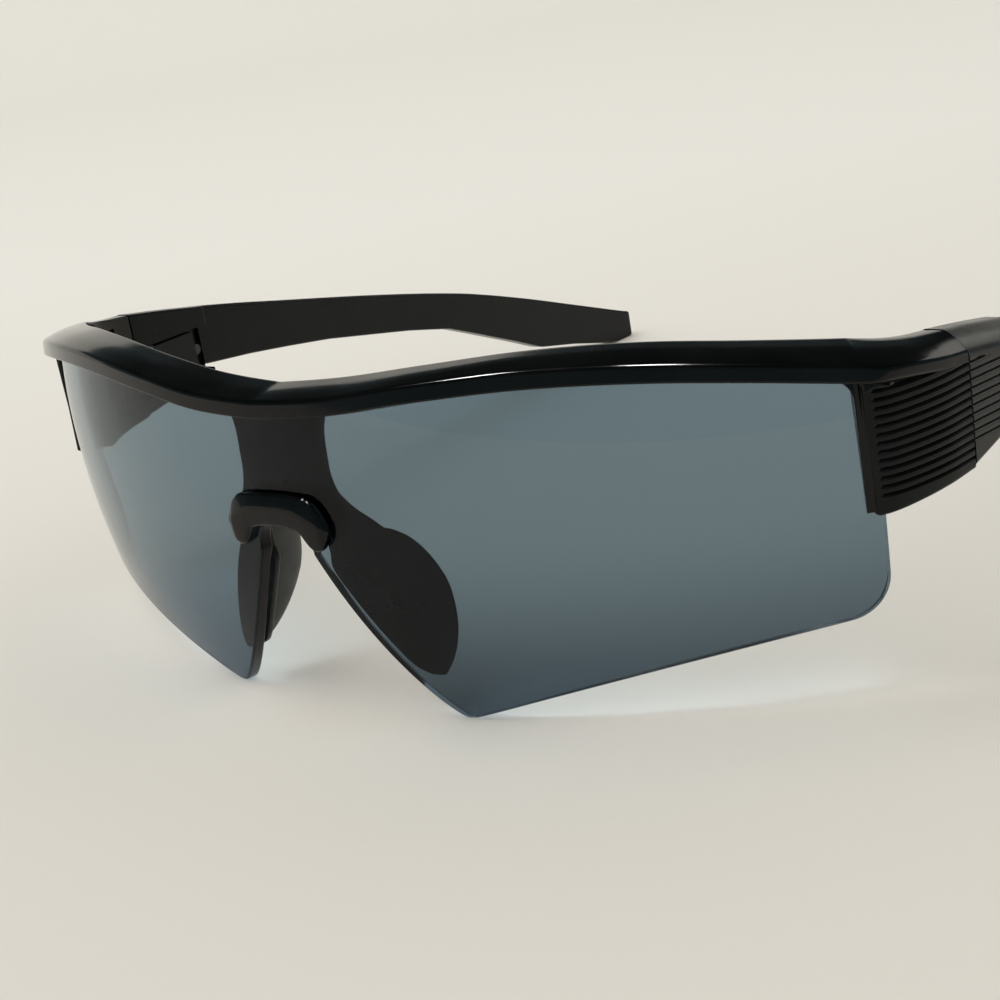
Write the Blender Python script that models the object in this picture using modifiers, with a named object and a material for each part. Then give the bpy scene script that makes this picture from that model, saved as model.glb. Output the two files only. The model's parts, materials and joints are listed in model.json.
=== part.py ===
"""Sport sunglasses: one shield lens under a brow frame with ribbed end pieces and two folding temples.

Frame of reference: +X is the wearer's left, -Y is the front, +Z is up. The glasses stand on the two
lower tips of the lens and on the ends of the temples, and every length is in metres.
"""

import math

import bmesh
import bpy
import numpy as np
from mathutils import Matrix, Vector

# Fits
FIT_GAP = 0.0003
LENS_CLEARANCE = 0.0004
PIN_CLEARANCE = 0.00007
OVERRUN = 0.004
WELD = 0.00001
SMOOTH_ANGLE = math.radians(30)

# Lens: a shield on a toroid, with a nose notch and two pointed lower tips
LENS_RADIUS = 0.095
LENS_RISE_RADIUS = 0.100
LENS_TILT = math.radians(5.15)
LENS_APEX_HEIGHT = 0.020
LENS_THICKNESS = 0.0018
PANEL_ARC = 0.0697
LENS_END_LAP = 0.0013
LENS_END_ARC = PANEL_ARC + LENS_END_LAP
LENS_TIP_ARC = 0.0193
LENS_CORNER_HEIGHT = 0.0105
LENS_CORNER_RADIUS = 0.0045
LENS_TIP_ROUNDING = 0.0005
REST_HEIGHT = 0.0005
LENS_ROWS = 8
LENS_COLUMNS = (6, 7, 10, 12)
LENS_CORNER_STEPS = 6
LENS_BOTTOM_SHARE = 0.6
NOTCH_TOP_ARC = 0.0043
NOTCH_HEIGHT = 0.0214
NOTCH_APEX = 0.0262
NOTCH_BEND_SHARE = 0.45

# Where the end panels start on the lens, and the seam behind them: a plane across the temple, with the
# sides of both pieces there
PANEL_X = LENS_RADIUS * math.sin(PANEL_ARC / LENS_RADIUS)
PANEL_Y = LENS_RADIUS * (1 - math.cos(PANEL_ARC / LENS_RADIUS))
SEAM_SETBACK = 0.01376
SEAM_SPREAD = 0.00579
SEAM_WIDTH = 0.0053
SEAM_Y = PANEL_Y + SEAM_SETBACK
SEAM_OUTER_X = PANEL_X + SEAM_SPREAD
SEAM_INNER_X = SEAM_OUTER_X - SEAM_WIDTH

# Brow bar: its front lower edge rises and falls along the arc of the lens
BROW_ARC_SHARES = (0.0, 0.143, 0.301, 0.502, 0.674, 0.854, 1.004)
BROW_ARCS = tuple(PANEL_ARC * share for share in BROW_ARC_SHARES)
BROW_EDGE_HEIGHTS = (0.0384, 0.0389, 0.0402, 0.0410, 0.0405, 0.0390, 0.0373)
BROW_CREST_HEIGHTS = (0.0412, 0.0419, 0.0430, 0.0439, 0.0436, 0.0422, 0.0408)
BROW_PROUD_DEPTHS = (0.0015, 0.0015, 0.0015, 0.0015, 0.0016, 0.0019, 0.0024)
BROW_FACE = 0.0021
BROW_CREST_FRONT = 0.0021
BROW_DEPTH = 0.0040
BROW_BACK_DROP = 0.0012
BROW_EDGE_ROUNDING = 0.0004
BROW_STATIONS = 30
GROOVE_DEPTH = 0.0012

# End pieces: ribbed blocks that carry the lens ends and the hinges
PANEL_LEAD = 0.0003
PANEL_PROUD = 0.0009
STRIP_LEAD = 0.0008
STRIP_ARC = PANEL_ARC - STRIP_LEAD
STRIP_PROUD = 0.0007
STRIP_LIFT = 0.0007
STRIP_FILLET = 0.0013
STRIP_FILLET_STEPS = 6
END_REAR = SEAM_Y - FIT_GAP / 2
END_OUTER_INSETS = (0.00320, 0.00165, 0.00055, 0.0)
END_OUTER_LEADS = (0.01250, 0.00890, 0.00460, 0.0)
END_INNER_INSETS = (0.00240, 0.00140, 0.00060, 0.0)
END_INNER_LEADS = (0.00920, 0.00680, 0.00370, 0.0)
END_DRAFT = 0.0003
END_CREASE_DROPS = (0.0008, 0.0015, 0.0023, 0.0030)
END_CREST_DROPS = (0.0004, 0.0010, 0.0016, 0.0021)
END_OVERHANGS = (0.0011, 0.0006, 0.0002, 0.0)
END_CREST_SHARE = 0.52
END_BOTTOM = 0.0221
END_BOTTOM_LIFT = 0.0010
END_CORNER = 0.0004
END_STATIONS = 10
RECESS_WALL = 0.0020
RECESS_LEAD = 0.0077
RECESS_LENGTH = 0.0040
RECESS_BOTTOM = 0.0250
RECESS_TOP_DROP = 0.0010

# Ribs: level rows of grooves that share one pitch on end pieces and temples
RIB_PITCH = 0.000965
RIB_ROWS = 13
RIB_FIRST = 0.0245
RIB_DEPTH = 0.00038
RIB_PROUD = 0.00025
RIB_GROOVE_SHARE = 0.60
RIB_FLOOR_SHARE = 0.33
RIB_SHORTEST_SHARE = 0.33
RIB_MARGIN = 0.0009
RIB_RUNOUT = 0.0004
RIB_CLEAR = 0.0012
RIB_END_SHARE = 0.25

# Hinge: three barrels on one slotted screw, inside the seam
HINGE_INSET = 0.0021
HINGE_X = SEAM_INNER_X - HINGE_INSET
BARREL_RADIUS = 0.0014
BARREL_BOTTOM = 0.0264
KNUCKLE_HEIGHT = 0.0018
TANG_HEIGHT = 0.0024
BARREL_TOP = BARREL_BOTTOM + 2 * KNUCKLE_HEIGHT + TANG_HEIGHT + 2 * FIT_GAP
SCREW_RADIUS = 0.0005
SCREW_HEAD_RADIUS = 0.0012
SCREW_HEAD_HEIGHT = 0.0007
SCREW_SLOT = 0.0003
LEAF_THICKNESS = 0.0009
LEAF_LENGTH = 0.0032
LEAF_PROUD = 0.0003
SMALL_SCREW_RADIUS = 0.0004
SMALL_HEAD_RADIUS = 0.0008
SMALL_HEAD_HEIGHT = 0.0005
SMALL_SHANK = 0.0012
ROUND_SIDES = 20

# Temples
TEMPLE_BLOCK_LENGTH = 0.0148
TEMPLE_BLOCK_END = SEAM_Y + TEMPLE_BLOCK_LENGTH
TEMPLE_ARM_INSET = 0.0003
TEMPLE_ARM_THICKNESS = 0.0034
TEMPLE_ARM_SHIFT = 0.0026
TEMPLE_ARM_RINGS = 34
TEMPLE_REACHES = (0.0, 0.0078, 0.0158, 0.0242, 0.0328, 0.0419, 0.0513, 0.0611, 0.0713,
                  0.0768, 0.0819, 0.0882, 0.0951, 0.1044, 0.1118, 0.1178, 0.1223)
TEMPLE_STATIONS_Y = tuple(SEAM_Y + reach for reach in TEMPLE_REACHES)
TEMPLE_TOP_HEIGHTS = (0.0388, 0.0374, 0.0358, 0.0340, 0.0320, 0.0299, 0.0277, 0.0253, 0.02265,
                      0.0211, 0.0195, 0.0174, 0.0150, 0.0116, 0.0089, 0.0067, 0.0051)
TEMPLE_LOW_HEIGHTS = (0.0290, 0.0278, 0.0267, 0.0257, 0.0244, 0.0229, 0.0209, 0.0188, 0.0162,
                      0.0139, 0.0117, 0.0090, 0.0059, 0.0038, 0.0018, REST_HEIGHT, REST_HEIGHT)
TEMPLE_BLOCK_LOW = (0.0234, 0.0257)
TEMPLE_ROUNDING_SHARE = 0.25
TEMPLE_CREST_SHARE = 0.45
RIB_DROOP = 0.09
BLOCK_CREASE_DROP = 0.0016

# Hinge block, set in a pocket of the temple's inner face
POCKET_LEAD = 0.0016
POCKET_FRONT = SEAM_Y + POCKET_LEAD
POCKET_END = TEMPLE_BLOCK_END
POCKET_BOTTOM = BARREL_BOTTOM - FIT_GAP
POCKET_TOP = BARREL_TOP + FIT_GAP
POCKET_DEPTH = 0.0022
SCREW_BAY_LENGTH = 0.0036
BLOCK_END = POCKET_END - SCREW_BAY_LENGTH
BLOCK_PROUD = 0.0003
NECK_DEPTH = 0.0012

# Nose post, wings, pads and front clip
POST_HEIGHTS = (0.0255, 0.0268, 0.0280, 0.0300, 0.0330, 0.0370, 0.0385, 0.0396)
POST_HALF_WIDTHS = (0.0102, 0.0090, 0.0078, 0.0069, 0.0067, 0.0071, 0.0078, 0.0095)
POST_THICKNESS = 0.0017
PAD_CENTRE_Y = 0.0059
PAD_CENTRE_Z = 0.0144
PAD_BACK_DEPTH = 0.0068
PAD_HALF_HEIGHT = 0.0087
PAD_DOME = 0.0012
PAD_FLAT = 0.0003
PAD_X = 0.0110
PAD_SPLAY_SHARE = 0.42
PAD_FLARE_SHARE = 0.10
PAD_LEAN_SHARE = 0.13
PAD_INSET_SHARE = 0.95
PAD_RINGS = 13
PAD_SIDES = 20
WING_BACK = 0.0007
WING_FRONT = 0.0022
WING_FADE_SHARE = 0.3
WING_ROWS = 9
WING_ROOT_Z = (0.0305, 0.0282, 0.0265, 0.0252, 0.0240)
WING_ROOT_X = (0.0035, 0.0045, 0.0058, 0.0070, 0.0077)
WING_ROOT_WIDTHS = (0.0022, 0.0027, 0.0032, 0.0036, 0.0033)
WING_ROOT_DEPTHS = (0.0014, 0.0015, 0.0016, 0.0020, 0.0028)
CLIP_ARCS = (0.0, 0.0015, 0.0030, 0.0036, 0.0042, 0.0047, 0.0052, 0.0059, 0.0066, 0.0070, 0.0074, 0.0078)
CLIP_TOPS = (0.0293, 0.0293, 0.0292, 0.0292, 0.0291, 0.0291, 0.0290, 0.0286, 0.0279, 0.0273, 0.0265, 0.0254)
CLIP_LOWS = (0.0253, 0.0253, 0.0251, 0.0249, 0.0243, 0.0235, 0.0229, 0.0226, 0.0228, 0.0232, 0.0239, 0.0248)
CLIP_PROUD = 0.0014
CLIP_EDGE = 0.0004
CLIP_END_SHARE = 0.33

# Colours and finishes: base colour, metallic, roughness, alpha
FINISHES = {
    "gloss_black": ((0.006, 0.007, 0.008), 0.0, 0.12, 1.0),
    "smoke_lens": ((0.035, 0.045, 0.055), 0.0, 0.05, 0.45),
    "soft_pad": ((0.020, 0.021, 0.022), 0.0, 0.45, 1.0),
    "satin_hinge": ((0.020, 0.021, 0.022), 0.0, 0.30, 1.0),
    "steel": ((0.45, 0.45, 0.46), 1.0, 0.30, 1.0),
}


def clear_scene():
    """Removes every object, and starts the two collections."""
    for item in list(bpy.data.objects):
        bpy.data.objects.remove(item, do_unlink=True)
    collections = []
    for name in ("sport_sunglasses", "cutters"):
        collection = bpy.data.collections.new(name)
        bpy.context.scene.collection.children.link(collection)
        collections.append(collection)
    return collections


def make_material(node, finish):
    """The material of one piece, in one of the listed finishes."""
    colour, metallic, roughness, alpha = FINISHES[finish]
    material = bpy.data.materials.new(f"{node}_{finish}")
    material.use_nodes = True
    shader = material.node_tree.nodes["Principled BSDF"]
    shader.inputs["Base Color"].default_value = (*colour, 1.0)
    shader.inputs["Metallic"].default_value = metallic
    shader.inputs["Roughness"].default_value = roughness
    shader.inputs["Alpha"].default_value = alpha
    return material


def datum_place():
    """Where the lens apex stands, so that the origin is on the floor under the middle of the glasses."""
    front = lens_point(0.0, CLIP_TOPS[0] - CLIP_EDGE, -CLIP_PROUD).y
    return (0.0, -(front + TEMPLE_STATIONS_Y[-1]) / 2, -REST_HEIGHT)


def lens_depth(height, inward):
    """How much nearer to its cylinder's axis the lens's surface lies, by its tilt and its upright curve."""
    rise = height - LENS_APEX_HEIGHT
    return inward - math.tan(LENS_TILT) * rise + rise * rise / (2 * LENS_RISE_RADIUS)


def lens_point(arc, height, inward):
    """A point at an arc length and height on the lens's front surface, moved inwards along its normal."""
    depth = lens_depth(height, inward)
    angle = arc / LENS_RADIUS
    reach = LENS_RADIUS - depth
    return Vector((reach * math.sin(angle), LENS_RADIUS - reach * math.cos(angle), height))


def hermite(places, values, place):
    """Cubic through the listed values, with each slope taken from its neighbours."""
    spots = np.asarray(places, float)
    sizes = np.asarray(values, float)
    slopes = np.gradient(sizes, spots)
    place = min(max(place, spots[0]), spots[-1])
    low = min(int(np.searchsorted(spots, place, "right")) - 1, len(spots) - 2)
    span = spots[low + 1] - spots[low]
    u = (place - spots[low]) / span
    start = (1 + 2 * u) * (1 - u) ** 2 * sizes[low] + u * (1 - u) ** 2 * span * slopes[low]
    end = u * u * (3 - 2 * u) * sizes[low + 1] + u * u * (u - 1) * span * slopes[low + 1]
    return start + end


def brow_edge(arc):
    return hermite(BROW_ARCS, BROW_EDGE_HEIGHTS, abs(arc))


def behind_lens(x, height, clearance):
    """How far back a point at x lies when it is just behind the lens."""
    depth = lens_depth(height, LENS_THICKNESS + clearance)
    return LENS_RADIUS - math.sqrt((LENS_RADIUS - depth) ** 2 - x * x)


def new_object(name, bm, collection, finish=None):
    """Makes a mesh object from bm, with its normals pointing out and its round faces smooth."""
    bmesh.ops.remove_doubles(bm, verts=bm.verts, dist=WELD)
    bmesh.ops.recalc_face_normals(bm, faces=bm.faces)
    mesh = bpy.data.meshes.new(name)
    bm.to_mesh(mesh)
    bm.free()
    mesh.shade_smooth()
    mesh.set_sharp_from_angle(angle=SMOOTH_ANGLE)
    item = bpy.data.objects.new(name, mesh)
    collection.objects.link(item)
    if finish:
        mesh.materials.append(make_material(name, finish))
    return item


def loft(rings):
    """A closed mesh through rings of equal length, with a face at each end."""
    bm = bmesh.new()
    made = [[bm.verts.new(point) for point in ring] for ring in rings]
    for near, far in zip(made, made[1:]):
        for i in range(len(near)):
            j = (i + 1) % len(near)
            bm.faces.new((near[i], near[j], far[j], far[i]))
    bm.faces.new(made[0])
    bm.faces.new(list(reversed(made[-1])))
    return bm


def box(low, high):
    """A cube primitive stretched between two corners."""
    bm = bmesh.new()
    bmesh.ops.create_cube(bm, size=1.0)
    low = Vector(low)
    high = Vector(high)
    size = high - low
    bmesh.ops.scale(bm, vec=size, verts=bm.verts)
    bmesh.ops.translate(bm, vec=(low + high) / 2, verts=bm.verts)
    return bm


def rod(centre, radius, low, high):
    """An upright cylinder."""
    bm = bmesh.new()
    place = Matrix.Translation((centre[0], centre[1], (low + high) / 2))
    bmesh.ops.create_cone(bm, cap_ends=True, segments=ROUND_SIDES, radius1=radius, radius2=radius,
                          depth=high - low, matrix=place)
    return bm


def cross_rod(start, length, radius, y, z):
    """A cylinder along X, from start outwards."""
    bm = bmesh.new()
    place = Matrix.Translation((start + length / 2, y, z)) @ Matrix.Rotation(math.pi / 2, 4, "Y")
    bmesh.ops.create_cone(bm, cap_ends=True, segments=ROUND_SIDES, radius1=radius, radius2=radius,
                          depth=length, matrix=place)
    return bm


def helper(name, bm, collection):
    """A cutter or a shape to be joined, kept out of the render."""
    item = new_object(name, bm, collection)
    item.hide_render = True
    item.display_type = "WIRE"
    return item


def join(target, other, operation):
    modifier = target.modifiers.new(operation.lower() + "_" + other.name, "BOOLEAN")
    modifier.operation = operation
    modifier.object = other


def mirror_whole(item):
    """Keeps the half at +X and mirrors it."""
    modifier = item.modifiers.new("both_sides", "MIRROR")
    modifier.use_bisect_axis[0] = True
    modifier.use_bisect_flip_axis[0] = False
    modifier.merge_threshold = WELD


def frozen(item):
    """Bakes an object's modifiers into its mesh."""
    bpy.context.view_layer.update()
    graph = bpy.context.evaluated_depsgraph_get()
    mesh = bpy.data.meshes.new_from_object(item.evaluated_get(graph))
    item.modifiers.clear()
    item.data = mesh
    return item


def to_right(item, collection):
    """The mirror image of a finished left piece, as its own object."""
    name = item.name.replace("left", "right")
    bm = bmesh.new()
    bm.from_mesh(item.data)
    bmesh.ops.scale(bm, vec=(-1.0, 1.0, 1.0), verts=bm.verts)
    bmesh.ops.reverse_faces(bm, faces=bm.faces)
    mesh = bpy.data.meshes.new(name)
    bm.to_mesh(mesh)
    bm.free()
    material = item.data.materials[0].copy()
    material.name = item.data.materials[0].name.replace("left", "right")
    mesh.materials.append(material)
    other = bpy.data.objects.new(name, mesh)
    collection.objects.link(other)
    return other


def hang_on_axis(moving, x, datum, collection):
    """Hangs a temple's pieces from an empty on the hinge axis, leaving them where they are."""
    pivot = bpy.data.objects.new("hinge_axis_left" if x > 0 else "hinge_axis_right", None)
    collection.objects.link(pivot)
    pivot.parent = datum
    pivot.location = (x, SEAM_Y, BARREL_BOTTOM)
    for item in moving:
        item.data.transform(Matrix.Translation(-pivot.location))
        item.parent = pivot


# Lens

def lens_low_edge(arc):
    """Height of the lens's lower edge: notch, rounded tip, rising bottom and rounded outer corner."""
    arc = abs(arc)
    if arc <= NOTCH_TOP_ARC:
        return NOTCH_HEIGHT + (NOTCH_APEX - NOTCH_HEIGHT) * math.sqrt(1 - (arc / NOTCH_TOP_ARC) ** 2)
    t = (arc - NOTCH_TOP_ARC) / (LENS_TIP_ARC - NOTCH_TOP_ARC)
    notch = NOTCH_HEIGHT * (1 - t) * (1 - NOTCH_BEND_SHARE * min(t, 1.0))
    t = (arc - LENS_TIP_ARC) / (LENS_END_ARC - LENS_TIP_ARC)
    bottom = LENS_CORNER_HEIGHT * t * (1 + LENS_BOTTOM_SHARE * (1 - max(t, 0.0)))
    inset = max(arc - (LENS_END_ARC - LENS_CORNER_RADIUS), 0.0)
    drop = math.sqrt(max(LENS_CORNER_RADIUS ** 2 - inset ** 2, 0.0))
    bottom += LENS_CORNER_RADIUS - drop
    blend = math.hypot(notch - bottom, 2 * LENS_TIP_ROUNDING)
    return max((notch + bottom + blend) / 2, REST_HEIGHT)


def lens_columns():
    """Arc lengths of the columns on one side, closer together at the notch, the tip and the outer corner."""
    tip = LENS_TIP_ARC
    near = LENS_CORNER_RADIUS / 2
    marks = [0.0, NOTCH_TOP_ARC, tip - near, tip + near, LENS_END_ARC - LENS_CORNER_RADIUS]
    places = []
    for start, end, count in zip(marks, marks[1:], LENS_COLUMNS):
        places += [start + (end - start) * i / count for i in range(count)]
    turns = LENS_CORNER_STEPS
    for i in range(turns + 1):
        places.append(LENS_END_ARC - LENS_CORNER_RADIUS * (1 - math.sin(math.pi / 2 * i / turns)))
    return places


def make_lens(collection):
    """The lens: one grid between its lower edge and the bottom of the brow's groove, given a wall."""
    places = lens_columns()
    arcs = [-place for place in reversed(places[1:])] + places
    bm = bmesh.new()
    grid = []
    for arc in arcs:
        low = lens_low_edge(arc)
        high = brow_edge(arc) + GROOVE_DEPTH
        column = [low + (high - low) * row / LENS_ROWS for row in range(LENS_ROWS + 1)]
        front = [bm.verts.new(lens_point(arc, height, 0.0)) for height in column]
        back = [bm.verts.new(lens_point(arc, height, LENS_THICKNESS)) for height in column]
        grid.append(front + back[::-1])
    for near, far in zip(grid, grid[1:]):
        for i in range(len(near)):
            j = (i + 1) % len(near)
            bm.faces.new((near[i], near[j], far[j], far[i]))
    bm.faces.new(grid[0])
    bm.faces.new(grid[-1][::-1])
    return new_object("shield_lens", bm, collection, "smoke_lens")


# Brow frame

def brow_ring(arc):
    """The bar's cross-section before its groove: back, narrow top, sloping upper face, lower front face."""
    edge = brow_edge(arc)
    crest = hermite(BROW_ARCS, BROW_CREST_HEIGHTS, arc)
    front = -hermite(BROW_ARCS, BROW_PROUD_DEPTHS, arc)
    soft = BROW_EDGE_ROUNDING
    crease = edge + BROW_FACE
    corners = (
        (BROW_DEPTH, crest - soft),
        (BROW_DEPTH - soft, crest),
        (BROW_CREST_FRONT, crest),
        (front + soft, crease + soft / 2),
        (front, crease - soft),
        (front, edge + soft),
        (front + soft, edge),
        (0.0, edge),
        (BROW_DEPTH / 2, edge - BROW_BACK_DROP / 2),
        (BROW_DEPTH - soft, edge - BROW_BACK_DROP),
        (BROW_DEPTH, edge - BROW_BACK_DROP + soft),
    )
    return [lens_point(arc, height, depth) for depth, height in corners]


def block_ring(plan, crease, crest, crest_share, overhang, bottom):
    """Upright cross-section of an end piece or temple block: chamfered top, ribbed side, flat inner side."""
    outer, inner = plan
    across = (inner - outer).normalized()
    width = (inner - outer).length

    def at(inset, height):
        spot = outer + across * inset
        return Vector((spot.x, spot.y, height))

    soft = BROW_EDGE_ROUNDING
    under = crease - RIB_CLEAR
    return [
        at(width, crest - soft),
        at(width - soft, crest),
        at(width * crest_share, crest),
        at(soft - overhang, crease + soft / 2),
        at(-overhang, crease - soft),
        at(-overhang, under),
        at(0.0, under - overhang),
        at(END_DRAFT, bottom + END_CORNER),
        at(END_DRAFT + END_CORNER, bottom),
        at(width - END_CORNER, bottom),
        at(width, bottom + END_CORNER),
    ]


def along(first, stops, t):
    """A smooth curve from a first value through the listed ones, at a share t of its length."""
    values = (first,) + tuple(stops)
    return hermite(np.linspace(0.0, 1.0, len(values)), values, t)


def end_plan(t):
    """Outer and inner plan points of the end piece at a share t of its length."""
    height = brow_edge(PANEL_ARC) - RIB_CLEAR
    start = lens_point(PANEL_ARC, height, -PANEL_PROUD)
    back = lens_point(PANEL_ARC, height, BROW_DEPTH)
    outer = Vector((along(start.x, [SEAM_OUTER_X - inset for inset in END_OUTER_INSETS], t),
                    along(start.y, [END_REAR - lead for lead in END_OUTER_LEADS], t)))
    inner = Vector((along(back.x, [SEAM_INNER_X - inset for inset in END_INNER_INSETS], t),
                    along(back.y, [END_REAR - lead for lead in END_INNER_LEADS], t)))
    return outer, inner


def end_ring(t):
    """Cross-section of the end piece at a share t of its length, in line with the bar where it starts."""
    edge = brow_edge(PANEL_ARC)
    crease = edge + BROW_FACE
    crest = hermite(BROW_ARCS, BROW_CREST_HEIGHTS, PANEL_ARC)
    proud = hermite(BROW_ARCS, BROW_PROUD_DEPTHS, PANEL_ARC) - PANEL_PROUD
    crease = along(crease, [crease - drop for drop in END_CREASE_DROPS], t)
    crest = along(crest, [crest - drop for drop in END_CREST_DROPS], t)
    overhang = along(proud, END_OVERHANGS, t)
    bottom = END_BOTTOM + END_BOTTOM_LIFT * t
    start_share = (PANEL_PROUD + BROW_CREST_FRONT) / (PANEL_PROUD + BROW_DEPTH)
    crest_share = start_share + (END_CREST_SHARE - start_share) * t
    return block_ring(end_plan(t), crease, crest, crest_share, overhang, bottom)


def make_bar_and_end():
    """Half of the bar with its end piece, as one body from the middle to the seam."""
    start = -LENS_THICKNESS
    end = PANEL_ARC - PANEL_LEAD
    arcs = [start + (end - start) * i / BROW_STATIONS for i in range(BROW_STATIONS + 1)]
    rings = [brow_ring(arc) for arc in arcs]
    rings += [end_ring(i / END_STATIONS) for i in range(END_STATIONS + 1)]
    return loft(rings)


def groove(path, width, depth):
    """One groove's cutter along path, a list of (spot on the face, outward direction, share of depth)."""
    rings = []
    for spot, out, share in path:
        rise = Vector((0.0, 0.0, width / 2))
        deep = spot - out * depth * share
        floor = rise * RIB_FLOOR_SHARE
        rings.append([spot + out * RIB_PROUD + rise, spot + rise, deep + floor,
                      deep - floor, spot - rise, spot + out * RIB_PROUD - rise])
    return loft(rings)


def grooves(face, stops, shares, droop_length, low, top):
    """All grooves of a ribbed face in one cutter; face gives a spot and its outward direction."""
    bm = bmesh.new()
    for row in range(RIB_ROWS):
        start = RIB_FIRST + row * RIB_PITCH
        path = []
        for t, share in zip(stops, shares):
            height = start - RIB_DROOP * droop_length * t
            if low(t) + RIB_PITCH < height < top(t):
                spot, out = face(t, height)
                path.append((spot, out, share))
        if len(path) < len(stops) * RIB_SHORTEST_SHARE:
            continue
        if path[0][2] > RIB_END_SHARE:
            path[0] = (*path[0][:2], RIB_END_SHARE)
        one = groove(path, RIB_PITCH * RIB_GROOVE_SHARE, RIB_DEPTH)
        mesh = bpy.data.meshes.new("groove")
        bmesh.ops.recalc_face_normals(one, faces=one.faces)
        one.to_mesh(mesh)
        one.free()
        bm.from_mesh(mesh)
        bpy.data.meshes.remove(mesh)
    return bm


def draft_at(height, bottom, top):
    """How far the ribbed face leans in at a height, between its bottom and its upper edge."""
    return END_DRAFT * (top - height) / (top - bottom)


def make_end_ribs():
    """Grooves of the end piece, from a margin behind the panel's front edge to past the seam."""
    length = END_REAR - lens_point(PANEL_ARC, END_BOTTOM, 0.0).y
    margin = RIB_MARGIN / length
    runout = margin + RIB_RUNOUT / length
    rest = 1.0 - runout
    stops = [margin, runout] + [runout + rest * (i + 1) / END_STATIONS for i in range(END_STATIONS)]
    shares = [RIB_END_SHARE] + [1.0] * (len(stops) - 1)
    stops.append(1.0 + runout)
    shares.append(1.0)

    def top(t):
        return end_ring(min(t, 1.0))[6].z + RIB_PITCH / 2

    def low(t):
        return END_BOTTOM + END_BOTTOM_LIFT * t

    def face(t, height):
        outer, inner = end_plan(min(t, 1.0))
        if t > 1.0:
            outer = Vector((outer.x, outer.y + (t - 1.0) * length))
            inner = Vector((inner.x, inner.y + (t - 1.0) * length))
        out = (outer - inner).normalized()
        spot = outer - out * draft_at(height, low(t), top(t))
        return Vector((spot.x, spot.y, height)), Vector((out.x, out.y, 0.0))

    return grooves(face, stops, shares, 0.0, low, top)


def make_strip():
    """The thin lip ahead of the panel, which curves into the brow's lower edge with a fillet."""
    start = STRIP_ARC - STRIP_FILLET
    turns = STRIP_FILLET_STEPS
    arcs = [start + STRIP_FILLET * math.sin(math.pi / 2 * i / turns) for i in range(turns + 1)]
    arcs += [STRIP_ARC + WELD, PANEL_ARC + RIB_MARGIN]
    rings = []
    for arc in arcs:
        edge = brow_edge(arc)
        if arc > STRIP_ARC:
            low = END_BOTTOM + STRIP_LIFT
        else:
            low = edge - STRIP_FILLET + math.sqrt(max(STRIP_FILLET ** 2 - (arc - start) ** 2, 0.0))
        levels = [edge + BROW_FACE / 2, low]
        front = [lens_point(arc, level, -STRIP_PROUD) for level in levels]
        back = [lens_point(arc, level, -FIT_GAP) for level in reversed(levels)]
        rings.append(front + back)
    return loft(rings)


def make_brow_frame(collection, cutters):
    """Bar, end pieces, nose post and wings, moulded as one."""
    frame = new_object("brow_frame", make_bar_and_end(), collection, "gloss_black")
    join(frame, helper("strip_shape", make_strip(), cutters), "UNION")
    join(frame, helper("post_shape", make_post(), cutters), "UNION")
    join(frame, helper("wing_shape", make_wing(), cutters), "UNION")
    join(frame, helper("lens_slot", make_lens_slot(), cutters), "DIFFERENCE")
    join(frame, helper("end_recess", make_recess(), cutters), "DIFFERENCE")
    join(frame, helper("leaf_pocket", make_leaf_pocket(), cutters), "DIFFERENCE")
    join(frame, helper("end_ribs", make_end_ribs(), cutters), "DIFFERENCE")
    mirror_whole(frame)
    return frozen(frame)


def make_lens_slot():
    """Room for the lens's upper edge along the bar, and for its outer end inside the end piece."""
    start = -OVERRUN
    end = LENS_END_ARC + FIT_GAP
    rings = []
    for i in range(BROW_STATIONS + 1):
        arc = start + (end - start) * i / BROW_STATIONS
        low = END_BOTTOM - OVERRUN
        high = brow_edge(arc) + GROOVE_DEPTH + FIT_GAP
        heights = [low + (high - low) * row / LENS_ROWS for row in range(LENS_ROWS + 1)]
        front = [lens_point(arc, height, -FIT_GAP) for height in heights]
        back = [lens_point(arc, height, LENS_THICKNESS + FIT_GAP) for height in heights]
        rings.append(front + back[::-1])
    return loft(rings)


def make_recess():
    """Hollow in the inner side of the end piece, ahead of the hinge."""
    front = SEAM_Y - RECESS_LEAD
    return box((SEAM_INNER_X - END_INNER_INSETS[0] - OVERRUN, front, RECESS_BOTTOM),
               (SEAM_OUTER_X - END_OUTER_INSETS[1] - RECESS_WALL, front + RECESS_LENGTH,
                TEMPLE_TOP_HEIGHTS[0] - RECESS_TOP_DROP))


def make_post():
    """Half of the nose post behind the lens, wider at its foot and where it meets the bar."""
    rings = []
    depth = LENS_THICKNESS + LENS_CLEARANCE
    for height, half in zip(POST_HEIGHTS, POST_HALF_WIDTHS):
        arcs = (-OVERRUN / 2, half / 2, half)
        front = [lens_point(arc, height, depth) for arc in arcs]
        back = [lens_point(arc, height, depth + POST_THICKNESS) for arc in arcs]
        rings.append(front + back[::-1])
    return loft(rings)


def pad_x(y, z):
    """Where a pad's rim lies: the pad splays outwards as it goes down, and a little as it goes back."""
    return PAD_X - PAD_SPLAY_SHARE * (z - PAD_CENTRE_Z) + PAD_FLARE_SHARE * (y - PAD_CENTRE_Y)


def pad_back(z):
    """How far back a pad and its wing reach at a height."""
    share = math.sqrt(max(1 - ((z - PAD_CENTRE_Z) / PAD_HALF_HEIGHT) ** 2, 0.0))
    return PAD_CENTRE_Y + PAD_BACK_DEPTH * share - PAD_LEAN_SHARE * max(PAD_CENTRE_Z - z, 0.0)


def wing_levels(rows, inset_share):
    """Heights down a pad or a wing, closer together at its ends."""
    half = PAD_HALF_HEIGHT * inset_share
    return [PAD_CENTRE_Z + half * math.cos(math.pi * (row + 1) / (rows + 1)) for row in range(rows)]


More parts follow.
